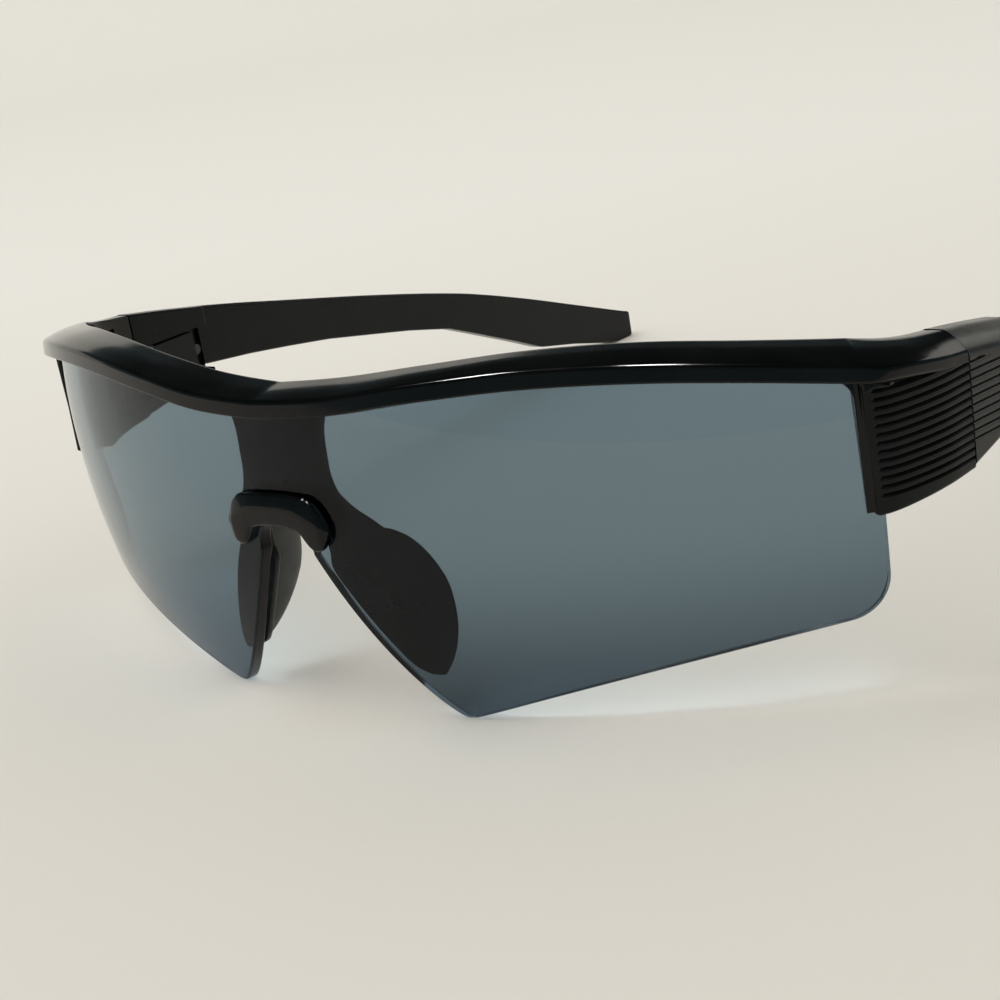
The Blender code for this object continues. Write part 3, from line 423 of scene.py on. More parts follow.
GLOSS = Moulded("gloss_black_nylon", (0.0018, 0.0021, 0.0022), (0.0032, 0.0037, 0.0038), 0.08, 0.13,
                900.0, 1.0e-6, 0.22)
SATIN = Moulded("satin_black_nylon", (0.0022, 0.0028, 0.0027), (0.0042, 0.0052, 0.0050), 0.22, 0.28,
                5000.0, 1.5e-6, 0.17)
RUBBER = Moulded("soft_grey_rubber", (0.022, 0.024, 0.022), (0.032, 0.034, 0.031), 0.42, 0.52,
                 7000.0, 3.0e-6, 0.30)
HINGE = Moulded("satin_hinge_nylon", (0.004, 0.005, 0.005), (0.008, 0.009, 0.009), 0.28, 0.38,
                6000.0, 3.0e-6, 0.20)
STEEL = Turned("blackened_screw_steel", (0.07, 0.07, 0.07), 0.26, 0.38)
LENS = Smoke("smoke_polycarbonate", (0.178, 0.248, 0.298), (0.076, 0.112, 0.146), (0.60, 0.61, 0.61))
LENS_EDGE = Smoke("smoke_polished_edge", (0.030, 0.040, 0.055), (0.020, 0.028, 0.040), (0.34, 0.38, 0.42),
                  roughness=0.10)


# Shared sizes

@dataclass(frozen=True)
class LensSurface:
    """The lens's front as a toroid, in the frame of its apex: arc length sideways, height, depth inwards."""

    radius: float = 0.095
    rise_radius: float = 0.100
    tilt: float = math.radians(5.15)
    apex_height: float = 0.020
    thickness: float = 0.0018

    def depth(self, height: Array, inward: Array) -> Array:
        """Depth grows inwards, falls with the tilt and grows with the square of the rise over 2 radii."""
        rise = height - self.apex_height
        return inward - math.tan(self.tilt) * rise + rise * rise / (2 * self.rise_radius)

    def point(self, arc: Array, height: Array, inward: Array) -> Array:
        """Points (r sin a, R - r cos a, height), where a is arc / R and r is R less the depth."""
        depth = self.depth(height, inward)
        angle = arc / self.radius
        reach = self.radius - depth
        parts = np.broadcast_arrays(reach * np.sin(angle), self.radius - reach * np.cos(angle), height)
        return np.stack(parts, axis=-1)

    def behind(self, x: Array, height: Array, clearance: float) -> Array:
        """How far back a point at x lies when it is just behind the lens: R - sqrt(r^2 - x^2)."""
        reach = self.radius - self.depth(height, self.thickness + clearance)
        return self.radius - np.sqrt(reach ** 2 - x * x)


@dataclass(frozen=True)
class BrowLine:
    """Heights and depths of the brow bar along the arc of the lens."""

    panel_arc: float = 0.0697
    shares: Sizes = (0.0, 0.143, 0.301, 0.502, 0.674, 0.854, 1.004)
    edge_heights: Sizes = (0.0384, 0.0389, 0.0402, 0.0410, 0.0405, 0.0390, 0.0373)
    crest_heights: Sizes = (0.0412, 0.0419, 0.0430, 0.0439, 0.0436, 0.0422, 0.0408)
    proud_depths: Sizes = (0.0015, 0.0015, 0.0015, 0.0015, 0.0016, 0.0019, 0.0024)
    face: float = 0.0021
    crest_front: float = 0.0035
    depth: float = 0.0040
    back_drop: float = 0.0012
    groove: float = 0.0012

    def _along(self, values: Sizes, arc: Array) -> Array:
        """A value on the smooth curve through its list."""
        return smooth_values(np.array(self.shares) * self.panel_arc, values, np.abs(arc))

    def edge(self, arc: Array) -> Array:
        """Height of the bar's front lower edge."""
        return self._along(self.edge_heights, arc)

    def crest(self, arc: Array) -> Array:
        """Height of the bar's top."""
        return self._along(self.crest_heights, arc)

    def proud(self, arc: Array) -> Array:
        """How far the bar's front stands ahead of the lens."""
        return self._along(self.proud_depths, arc)


@dataclass(frozen=True)
class Ribs:
    """The ribbed sides: level grooves with wide rounded ribs between them, in a side that leans in."""

    pitch: float = 0.000965
    rows: int = 13
    rows_below: int = 2
    first: float = 0.0245
    depth: float = 0.00030
    sharpness: float = 4.5
    shortest: float = 0.33
    fade_start: float = 0.8
    fade_run: float = 0.4
    margin: float = 0.0009
    runout: float = 0.0005
    clear: float = 0.0012
    draft: float = 0.0003
    corner: float = 0.0005
    spots: Sizes = (0.5, 0.36, 0.27, 0.21, 0.16, 0.11, 0.055, 0.0, -0.055, -0.11, -0.16, -0.21,
                                -0.27, -0.36)

    def levels(self, low: Array, top: Array, drop: Array) -> Array:
        """Heights from the top down, closer together in the grooves, held between two limits.

        Args:
            low: (stations, 1), lower limit.
            top: (stations, 1), upper limit.
            drop: (stations, 1), how far the grooves have sunk there.

        Returns:
            (stations, levels).
        """
        rows = np.arange(self.rows, -self.rows_below - 1, -1)[:, None] + np.array(self.spots)[None, :]
        heights = self.first + rows.reshape(1, -1) * self.pitch - drop
        return np.concatenate([top, np.clip(heights, low, top), low], axis=1)

    def cut(self, level: Array, low: Array, top: Array) -> Array:
        """Depth of the grooves: depth * (half + half cos(turn))^sharpness, one turn for each pitch.

        A groove is left out where its middle lies less than a pitch above the lower limit or above the
        upper one, and altogether where that leaves less than a third of its length.

        Args:
            level: (stations, levels), height before any droop.
            low: (stations, 1), lower limit in the same terms.
            top: (stations, 1), upper limit in the same terms.

        Returns:
            (stations, levels), depth of the cut.
        """
        turn = (level - self.first) / self.pitch
        row = np.rint(turn)
        middles = self.first + np.arange(self.rows) * self.pitch
        inside = (middles > low + self.pitch) & (middles < top)
        kept = inside.mean(axis=0) >= self.shortest
        number = np.clip(row, 0, self.rows - 1).astype(int)
        real = (row >= 0) & (row < self.rows) & kept[number]
        middle = self.first + row * self.pitch
        run = self.fade_run * self.pitch
        fade = ease((middle - low - self.fade_start * self.pitch) / run) * ease((top - middle) / run)
        wave = (0.5 + 0.5 * np.cos(2 * math.pi * turn)) ** self.sharpness
        return self.depth * wave * np.where(real, fade, 0.0)

    def side(self, low: Array, top: Array, highest: Array, drop: Array, left: Array) -> tuple[Array, Array, Array]:
        """A ribbed side, which leans in by the draft from nothing at its top.

        Args:
            low: (stations, 1), the side's lower edge.
            top: (stations, 1), its upper edge.
            highest: (stations, 1), upper limit of the grooves' middles.
            drop: (stations, 1), how far the grooves have sunk there.
            left: (stations, 1), distance to the end where the grooves run out.

        Returns:
            (stations, levels) each: heights, shares of the way down and how far in the side lies.
        """
        level = self.levels(low + self.corner, top, drop)
        share = (top - level) / (top - low - self.corner)
        fade = ease((left - self.margin) / self.runout)
        return level, share, self.draft * share + self.cut(level + drop, low + drop, highest + drop) * fade


@dataclass(frozen=True)
class Layout:
    """Places that several pieces share, worked out from the lens, the panels' arc and the hinge axis."""

    surface: LensSurface = field(default_factory=LensSurface)
    brow: BrowLine = field(default_factory=BrowLine)
    ribs: Ribs = field(default_factory=Ribs)
    fit_gap: float = 0.0003
    lens_clearance: float = 0.0004
    rest_height: float = 0.0005
    seam_setback: float = 0.01376
    seam_spread: float = 0.00579
    seam_width: float = 0.0053
    barrel_bottom: float = 0.0264
    knuckle: float = 0.0018
    tang: float = 0.0024

    @property
    def panel_angle(self) -> float:
        """The lens's angle where the panels start."""
        return self.brow.panel_arc / self.surface.radius

    @property
    def seam_y(self) -> float:
        """The seam's plane, a set distance behind the place where the panels start."""
        return self.surface.radius * (1 - math.cos(self.panel_angle)) + self.seam_setback

    @property
    def seam_outer(self) -> float:
        """The outer side of both pieces at the seam."""
        return self.surface.radius * math.sin(self.panel_angle) + self.seam_spread

    @property
    def seam_inner(self) -> float:
        """The inner side of both pieces at the seam."""
        return self.seam_outer - self.seam_width

    @property
    def barrels(self) -> tuple[tuple[float, float], ...]:
        """Bottom and top of the frame's lower barrel, the temple's barrel and the frame's upper one."""
        first = self.barrel_bottom + self.knuckle
        second = first + self.fit_gap
        third = second + self.tang
        fourth = third + self.fit_gap
        return (self.barrel_bottom, first), (second, third), (fourth, fourth + self.knuckle)

    @property
    def hinge_span(self) -> tuple[float, float]:
        """Bottom and top of the room for the hinge."""
        return self.barrels[0][0] - self.fit_gap, self.barrels[2][1] + self.fit_gap

    @property
    def apex(self) -> Array:
        """Where the lens's apex stands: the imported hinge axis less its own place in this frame."""
        axis = next(joint for joint in frame["joints"] if joint["name"] == "left_fold")
        place = np.array(axis["pos_m"], float)
        return np.array([0.0, place[1] - self.seam_y, place[2] - self.barrel_bottom])


class SubAssembly:
    """A group of pieces that share a layout: it turns rings into placed, dressed objects."""

    def __init__(self, layout: Layout) -> None:
        """Keeps the layout."""
        self.layout = layout

    def place(self, name: str, rings: Array, side: Side = Side.LEFT, sharp: float = SHARP) -> Piece:
        """Makes an object from rings in the apex's frame, mirrored for the right side.

        Args:
            name: the piece's name.
            rings: (rings, points, 3).
            side: the side that the piece belongs to.
            sharp: angle in degrees above which an edge stays sharp.

        Returns:
            The object, at the origin, with its place in its mesh.
        """
        placed = rings * np.array([side.value, 1.0, 1.0]) + self.layout.apex
        piece = bpy.data.objects.new(name, skin_mesh(name, placed, sharp))
        bpy.context.scene.collection.objects.link(piece)
        even = piece.modifiers.new("even_normals", "WEIGHTED_NORMAL")
        even.keep_sharp = True
        return piece

    def dress(self, piece: Piece, finish: bpy.types.Material, slot: Slot, body: str, node: str) -> None:
        """Gives a piece its finish and its body, and hides the CAD node that it stands for."""
        piece.data.materials.append(finish)
        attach(piece, body)
        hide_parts(node)
        piece.data.update()
        log.info("%s: %d faces, rides on %s, stands for %s", piece.name, len(piece.data.polygons), body, node)

    def second_finish(self, piece: Piece, finish: bpy.types.Material, chosen: Array) -> None:
        """Gives the chosen faces another finish."""
        piece.data.materials.append(finish)
        piece.data.polygons.foreach_set("material_index", chosen.astype(np.int32))
        piece.data.update()


@dataclass
class Finishes:
    """One material of each finish, shared by all pieces."""

    gloss: bpy.types.Material = field(default_factory=GLOSS.material)
    satin: bpy.types.Material = field(default_factory=SATIN.material)
    rubber: bpy.types.Material = field(default_factory=RUBBER.material)
    hinge: bpy.types.Material = field(default_factory=HINGE.material)
    steel: bpy.types.Material = field(default_factory=STEEL.material)
    lens: bpy.types.Material = field(default_factory=LENS.material)
    lens_edge: bpy.types.Material = field(default_factory=LENS_EDGE.material)


# Pieces

@dataclass
class ShieldLens(SubAssembly):
    """The shield: one bent sheet with a nose notch, two lower tips and rounded outer corners."""

    layout: Layout
    end_lap: float = 0.0013
    tip_arc: float = 0.0193
    corner_height: float = 0.0105
    corner_radius: float = 0.0045
    tip_rounding: float = 0.0005
    bottom_share: float = 0.6
    notch_arc: float = 0.0043
    notch_height: float = 0.0214
    notch_apex: float = 0.0262
    notch_bend: float = 0.45
    edge_radius: float = 0.00035
    edge_facing: float = 0.80
    rows: int = 26

    @property
    def end_arc(self) -> float:
        """Arc of the lens's outer ends, a little way into the end pieces."""
        return self.layout.brow.panel_arc + self.end_lap

    def low_edge(self, arc: Array) -> Array:
        """Height of the lower edge.

        Inside the notch it is a quarter of an ellipse; beside it the notch's bent slope and the rising bottom
        meet in a rounded tip, as half their sum and half the length of (their difference, twice the rounding);
        near the end a quarter circle lifts the corner.

        Args:
            arc: arc lengths from the middle.

        Returns:
            Heights in the apex's frame.
        """
        arc = np.abs(arc)
        inner = 1 - np.clip(arc / self.notch_arc, 0.0, 1.0) ** 2
        ellipse = self.notch_height + (self.notch_apex - self.notch_height) * np.sqrt(inner)
        t = (arc - self.notch_arc) / (self.tip_arc - self.notch_arc)
        notch = self.notch_height * (1 - t) * (1 - self.notch_bend * np.minimum(t, 1.0))
        t = (arc - self.tip_arc) / (self.end_arc - self.tip_arc)
        bottom = self.corner_height * t * (1 + self.bottom_share * (1 - np.maximum(t, 0.0)))
        corner = quarter_circle(self.corner_radius, arc - (self.end_arc - self.corner_radius))
        bottom = bottom + self.corner_radius - corner
        blend = np.hypot(notch - bottom, 2 * self.tip_rounding)
        beside = np.maximum((notch + bottom + blend) / 2, self.layout.rest_height)
        return np.where(arc <= self.notch_arc, ellipse, beside)

    def columns(self) -> Array:
        """Arc lengths of the columns, closer together at the notch's side, the tip and the corner."""
        near = self.corner_radius / 2
        quarter = np.sin(np.linspace(0.0, math.pi / 2, 25))
        parts = [self.notch_arc * quarter,
                 np.linspace(self.notch_arc, self.tip_arc - near, 26),
                 np.linspace(self.tip_arc - near, self.tip_arc + near, 40),
                 np.linspace(self.tip_arc + near, self.end_arc - self.corner_radius, 60),
                 self.end_arc - self.corner_radius * (1 - quarter)]
        half = np.unique(np.round(np.concatenate(parts), 9))
        return np.concatenate([-half[:0:-1], half])

    def build(self, finishes: Finishes) -> None:
        """The sheet: front and back are the lens surface at two depths, joined by a rounded lower edge."""
        surface, brow = self.layout.surface, self.layout.brow
        arcs = self.columns()[:, None]
        low = self.low_edge(arcs)
        high = brow.edge(arcs) + brow.groove
        angle = np.linspace(0.0, math.pi / 2, 6)
        bend_depth = self.edge_radius * (1 - np.sin(angle))
        bend_height = self.edge_radius * (1 - np.cos(angle))
        share = np.linspace(0.0, 1.0, self.rows)[1:]
        start = low + self.edge_radius
        heights = np.concatenate([low + bend_height, start + (high - start) * share], axis=1)
        depths = np.concatenate([bend_depth, np.zeros(len(share))])[None, :]
        front = surface.point(arcs, heights, depths)
        back = surface.point(arcs, heights, surface.thickness - depths)
        rings = np.concatenate([front, back[:, ::-1]], axis=1)
        lens = self.place("shield_lens_sheet", rings, sharp=60.0)
        self.dress(lens, finishes.lens, Slot.LENS, "front", "shield_lens")
        normals = face_values(lens, "normal")
        sine = (face_values(lens, "center")[:, 0] - self.layout.apex[0]) / surface.radius
        facing = normals[:, 0] * sine - normals[:, 1] * np.sqrt(1 - sine ** 2)
        self.second_finish(lens, finishes.lens_edge, np.abs(facing) < self.edge_facing)


@dataclass
class BrowFrame(SubAssembly):
    """Bar, end pieces, lips and nose post."""

    layout: Layout
    bar_stations: int = 110
    bar_setback: float = 0.0003
    end_stations: int = 64
    plan_steps: int = 801
    first_shares: Sizes = (0.0, 0.006, 0.012, 0.02, 0.03)
    inner_levels: int = 16
    inner_top: float = 0.0415
    crease_radii: tuple[float, float] = (0.00050, 0.00060)
    crease_fade: float = 0.3
    back_radius: float = 0.0004
    top_radius: float = 0.00055
    low_radius: float = 0.00035
    bulge: float = 0.00016
    bulge_lean: float = 0.6
    panel_proud: float = 0.0009
    outer_insets: Sizes = (0.00320, 0.00165, 0.00055, 0.0)
    outer_leads: Sizes = (0.01250, 0.00890, 0.00460, 0.0)
    inner_insets: Sizes = (0.00240, 0.00140, 0.00060, 0.0)
    inner_leads: Sizes = (0.00920, 0.00680, 0.00370, 0.0)
    crease_drops: Sizes = (0.0008, 0.0015, 0.0023, 0.0030)
    crest_drops: Sizes = (0.0004, 0.0010, 0.0016, 0.0021)
    overhangs: Sizes = (0.0011, 0.0006, 0.0002, 0.0)
    crest_share: float = 0.52
    settle_share: float = 0.6
    under_share: float = 0.36
    front_fade: float = 12.0
    bottom: float = 0.0221
    bottom_lift: float = 0.0010
    front_radius: float = 0.0004
    toe_radius: float = 0.0009
    recess_lead: float = 0.0077
    recess_length: float = 0.0040
    recess_bottom: float = 0.0250
    recess_top: float = 0.0378
    recess_wall: float = 0.0020
    leaf_length: float = 0.0032
    leaf_seat: float = 0.0009
    strip_lead: float = 0.0008
    strip_proud: float = 0.0007
    strip_step: float = 0.2
    strip_lift: float = 0.0007
    strip_fillet: float = 0.0023
    strip_lap: float = 0.0002
    strip_rounding: float = 0.0003
    strip_radii: Sizes = (0.0002, 0.0003, 0.0001, 0.0001)
    satin_height: float = 0.036
    satin_lead: float = 0.0004
    satin_top: float = 0.0355
    post_heights: Sizes = (0.0255, 0.0268, 0.0280, 0.0300, 0.0330, 0.0370, 0.0385, 0.0396)
    post_widths: Sizes = (0.0102, 0.0090, 0.0078, 0.0069, 0.0067, 0.0071, 0.0078, 0.0095)
    post_thickness: float = 0.0017
    post_squareness: float = 0.30

    @property
    def rear(self) -> float:
        """The end pieces' rear faces, half a gap ahead of the seam's plane."""
        return self.layout.seam_y - self.layout.fit_gap / 2

    @property
    def recess_front(self) -> float:
        """Where the hollow in the end piece's inner side starts."""
        return self.layout.seam_y - self.recess_lead

    @property
    def leaf_front(self) -> float:
        """Where the seat of the hinge's leaf starts."""
        return self.rear - self.layout.fit_gap * 2 - self.leaf_length

    def _stops(self, first: float, stops: Array, t: Array) -> Array:
        """A smooth curve from a first value through the stops."""
        values = np.concatenate([[first], stops])
        return smooth_values(np.linspace(0.0, 1.0, len(values)), values, t)

    def end_plan(self, t: Array) -> tuple[Array, Array]:
        """Outer and inner plan points (stations, 2) of the end piece at shares of its length."""
        brow, surface, layout = self.layout.brow, self.layout.surface, self.layout
        height = brow.edge(brow.panel_arc) - layout.ribs.clear
        plans = []
        for depth, side, insets, leads in (
                (-self.panel_proud, layout.seam_outer, self.outer_insets, self.outer_leads),
                (brow.depth, layout.seam_inner, self.inner_insets, self.inner_leads)):
            start = surface.point(brow.panel_arc, height, depth)
            plans.append(columns(self._stops(start[0], side - np.array(insets), t),
                                 self._stops(start[1], self.rear - np.array(leads), t)))
        return plans[0], plans[1]

    def bar_parts(self, arcs: Array, shares: Array) -> tuple[Array, Array, Array]:
        """Cross-sections of the bar.

        Args:
            arcs: (stations,), arc lengths.
            shares: (levels,), where the inner side's levels lie between its lower and upper edges.

        Returns:
            The upper corners with their points of reference, the bottom's points and the inner side's.
        """
        brow, surface = self.layout.brow, self.layout.surface
        edge, crest, proud = brow.edge(arcs), brow.crest(arcs), brow.proud(arcs)
        crease, low_back = edge + brow.face, edge - brow.back_drop
        bulge = self.bulge * (1 + np.abs(arcs) / brow.panel_arc)
        depth = columns(brow.depth, brow.depth, brow.crest_front,
                        (brow.crest_front - proud) / 2 - bulge * self.bulge_lean, -proud, -proud, -self.panel_proud)
        height = columns((crest + low_back) / 2, crest, crest, (crest + crease) / 2 + bulge, crease, edge, edge)
        arcs, edge, low_back = arcs[:, None], edge[:, None], low_back[:, None]
        upper = surface.point(arcs, height, depth)
        along = np.linspace(0.0, 1.0, 10)[None, :]
        bottom = surface.point(arcs, edge + (low_back - edge) * along,
                               -self.panel_proud + (brow.depth + self.panel_proud) * along)
        top = (crest - self.top_radius)[:, None]
        return upper, bottom, surface.point(arcs, low_back + (top - low_back) * shares[None, :], brow.depth)

    def end_sizes(self, t: Array) -> dict[str, Array]:
        """Heights and insets of the end piece's cross-section at shares of its length."""
        brow = self.layout.brow
        crease_start = brow.edge(brow.panel_arc) + brow.face
        crest_start = brow.crest(brow.panel_arc)
        crease = self._stops(crease_start, crease_start - np.array(self.crease_drops), t)
        overhang = self._stops(brow.proud(brow.panel_arc) - self.panel_proud, np.array(self.overhangs), t)
        settle = ease(t / self.under_share)
        under = crease - brow.face + (brow.face - self.layout.ribs.clear) * settle
        share = (self.panel_proud + brow.crest_front) / (self.panel_proud + brow.depth)
        return {"crease": crease, "crest": self._stops(crest_start, crest_start - np.array(self.crest_drops), t),
                "overhang": overhang, "under": under, "top": under - overhang * settle,
                "bottom": self.bottom + self.bottom_lift * t,
                "crest_share": share + (self.crest_share - share) * t}

    def end_times(self) -> Array:
        """Shares of the length: even ones, with pairs at the recess's and the leaf seat's edges."""
        t = np.linspace(0.0, 1.0, self.plan_steps)
        inner_y = self.end_plan(t)[1][:, 1]
        marks = np.array([self.recess_front, self.recess_front + self.recess_length, self.leaf_front])
        shares = np.interp(marks, inner_y, t)
        step = 2 * NUDGE / (self.rear - inner_y[0])
        places = np.concatenate([np.linspace(0.0, 1.0, self.end_stations), self.first_shares,
                                 shares - step, shares + step])
        return np.unique(np.round(np.clip(places, 0.0, 1.0), 7))

    def inner_heights(self) -> Array:
        """Levels of the inner side, with pairs at the edges of its hollows."""
        marks = np.array([self.recess_bottom, self.recess_top, *self.layout.hinge_span])
        spread = np.linspace(self.bottom, self.inner_top, self.inner_levels)
        return np.sort(np.concatenate([spread, marks - NUDGE, marks + NUDGE]))

    def end_parts(self, t: Array) -> tuple[Array, Array, Array, Array]:
        """Cross-sections of the end piece.

        The ribbed side leans in by the draft, from nothing at its top, and is cut by the grooves. Its front
        edge is rounded: r - sqrt(r^2 - (r - s)^2) at a distance s behind the panel's front.

        Args:
            t: shares of the length.

        Returns:
            Upper corners with points of reference, ribbed side, bottom corners and inner side.
        """
        layout, ribs, surface = self.layout, self.layout.ribs, self.layout.surface
        size = self.end_sizes(t)
        outer, inner = self.end_plan(t)
        across = inner - outer
        width = np.linalg.norm(across, axis=1)
        across = across / width[:, None]
        foot = layout.brow.edge(layout.brow.panel_arc) - ribs.clear
        upright = ease(t / self.settle_share)[:, None]

        def at(inset: Array, height: Array) -> Array:
            """Points at insets from the outer side; the upper part leaves the bar leaning as the lens does."""
            inset, height = np.broadcast_arrays(inset, height)
            lean = surface.depth(np.maximum(height, foot), 0.0) - surface.depth(foot, 0.0)
            spot = outer[:, None] + across[:, None] * (inset + lean * (1 - upright))[..., None]
            return np.concatenate([spot, height[..., None]], axis=2)

        crest, crease, overhang, under, top = (size[key] for key in
                                               ("crest", "crease", "overhang", "under", "top"))
        bulge = self.bulge * 2
        crest_inset = width * size["crest_share"]
        middle_inset = (crest_inset - overhang) / 2 - bulge * self.bulge_lean
        upper = at(columns(width, width, crest_inset, middle_inset, -overhang, -overhang, 0.0),
                   columns(crest - OFF, crest, crest, (crest + crease) / 2 + bulge, crease, under, top))
        steps = np.linalg.norm(np.diff(outer, axis=0), axis=1)
        distance = np.concatenate([[0.0], np.cumsum(steps)])[:, None]
        top = top[:, None]
        front_edge = self.front_radius - quarter_circle(self.front_radius, self.front_radius - distance)
        low = size["bottom"][:, None] + self.toe_radius - quarter_circle(self.toe_radius, self.toe_radius - distance)
        level, share, inset = ribs.side(low, top, top + ribs.pitch * (upright - 0.5), 0.0 * low, distance)
        side = at(inset + front_edge * ease(share * self.front_fade), level)
        edge, bottom = ribs.draft + front_edge[:, 0], low[:, 0]
        lower = at(columns(edge, edge, width, width), columns(bottom + OFF, bottom, bottom, bottom + OFF))
        heights = np.clip(self.inner_heights()[None, :], low + ribs.corner, (crest - self.top_radius)[:, None])
        inside = at(width[:, None], heights)
        x, y, z = inside[..., 0], inside[..., 1], inside[..., 2]
        in_recess = (y > self.recess_front) & (y < self.recess_front + self.recess_length) \
            & (z > self.recess_bottom) & (z < self.recess_top)
        in_seat = (y > self.leaf_front) & (z > layout.hinge_span[0]) & (z < layout.hinge_span[1])
        floor = layout.seam_outer - self.outer_insets[1] - self.recess_wall
        inside[..., 0] = np.where(in_recess, floor, np.where(in_seat, layout.seam_inner + self.leaf_seat, x))
        return upper, side, lower, inside

    def frame_rings(self) -> Array:
        """Rings of the whole bar with both end pieces; the bar's rings hold the ribbed side as one point."""
        brow, corner = self.layout.brow, self.layout.ribs.corner
        t = self.end_times()
        upper, side, lower, inside = self.end_parts(t)
        low_back = brow.edge(brow.panel_arc) - brow.back_drop
        high = self.end_sizes(t)["crest"][0] - self.top_radius
        shares = (np.clip(self.inner_heights(), low_back, high) - low_back) / (high - low_back)
        start, end = self.crease_radii
        radii = columns(self.back_radius, self.top_radius, WIDE, end * (1 - self.crease_fade * t), self.low_radius)
        panel = np.hstack([rounded_chain(upper, radii, FINE), side,
                           rounded_chain(lower, np.array([corner, corner]), COARSE), inside])
        arcs = np.linspace(0.0, brow.panel_arc - self.bar_setback, self.bar_stations)
        upper, bottom, inside = self.bar_parts(arcs, shares)
        crease = start + (end - start) * (arcs / brow.panel_arc)
        radii = columns(self.back_radius, self.top_radius, WIDE, crease, self.low_radius)
        held = np.repeat(bottom[:, :1], side.shape[1], axis=1)
        half = np.concatenate([np.hstack([rounded_chain(upper, radii, FINE), held, bottom, inside]), panel])
        return np.concatenate([half[:0:-1] * np.array([-1.0, 1.0, 1.0]), half])

    def strip_rings(self) -> Array:
        """The lip ahead of the panel: it hangs from the brow's edge by a quarter-circle fillet."""
        brow, gap = self.layout.brow, self.layout.fit_gap
        strip_arc = brow.panel_arc - self.strip_lead
        start = strip_arc - self.strip_fillet
        fillet = start + self.strip_fillet * np.sin(np.linspace(0.0, math.pi / 2, 14))
        turn = np.linspace(0.0, math.pi / 2, 6)
        front = strip_arc + self.strip_rounding * (1 - np.cos(turn))
        arcs = np.concatenate([fillet, front + NUDGE, [brow.panel_arc + self.strip_lap]])
        edge = brow.edge(arcs)
        curved = edge - self.strip_fillet + quarter_circle(self.strip_fillet, arcs - start)
        low = np.where(arcs > strip_arc, self.bottom + self.strip_lift, curved)
        step = np.concatenate([np.zeros(len(fillet)), np.sin(turn), [1.0]])
        proud = (1 - self.strip_step + self.strip_step * step) * self.strip_proud
        high = edge + brow.face / 2
        corners = self.layout.surface.point(arcs[:, None], columns(high, low, low, high),
                                            columns(-proud, -proud, -gap, -gap))
        return rounded_rings(corners, np.array(self.strip_radii), COARSE)

    def post_rings(self) -> Array:
        """The post: superelliptic sections that follow the lens's back, from the clip up into the bar."""
        surface, layout = self.layout.surface, self.layout
        heights = np.linspace(self.post_heights[0], self.post_heights[-1], 60)
        half = smooth_values(self.post_heights, self.post_widths, heights)[:, None]
        turn = np.linspace(0.0, 2 * math.pi, 96, endpoint=False)[None, :]
        wide, deep = (np.sign(wave) * np.abs(wave) ** self.post_squareness for wave in (np.cos(turn), np.sin(turn)))
        middle = surface.thickness + layout.lens_clearance + self.post_thickness / 2
        return surface.point(half * wide, heights[:, None], middle + self.post_thickness / 2 * deep)

    def build(self, finishes: Finishes) -> None:
        """The bar with its end pieces, the lips and the post."""
        shell = self.place("brow_bar_and_ends", self.frame_rings(), sharp=38.0)
        self.dress(shell, finishes.gloss, Slot.FRAME, "front", "brow_frame")
        centres = face_values(shell, "center")
        panel = self.layout.surface.point(self.layout.brow.panel_arc, self.satin_height, 0.0)[0] + self.satin_lead
        self.second_finish(shell, finishes.satin, (np.abs(centres[:, 0]) > panel) & (centres[:, 2] < self.satin_top))
        post = self.place("nose_post", self.post_rings())
        self.dress(post, finishes.satin, Slot.FRAME, "front", "brow_frame")
        for side in Side:
            lip = self.place(f"panel_lip_{side.word}", self.strip_rings(), side)
            self.dress(lip, finishes.gloss, Slot.FRAME, "front", "brow_frame")


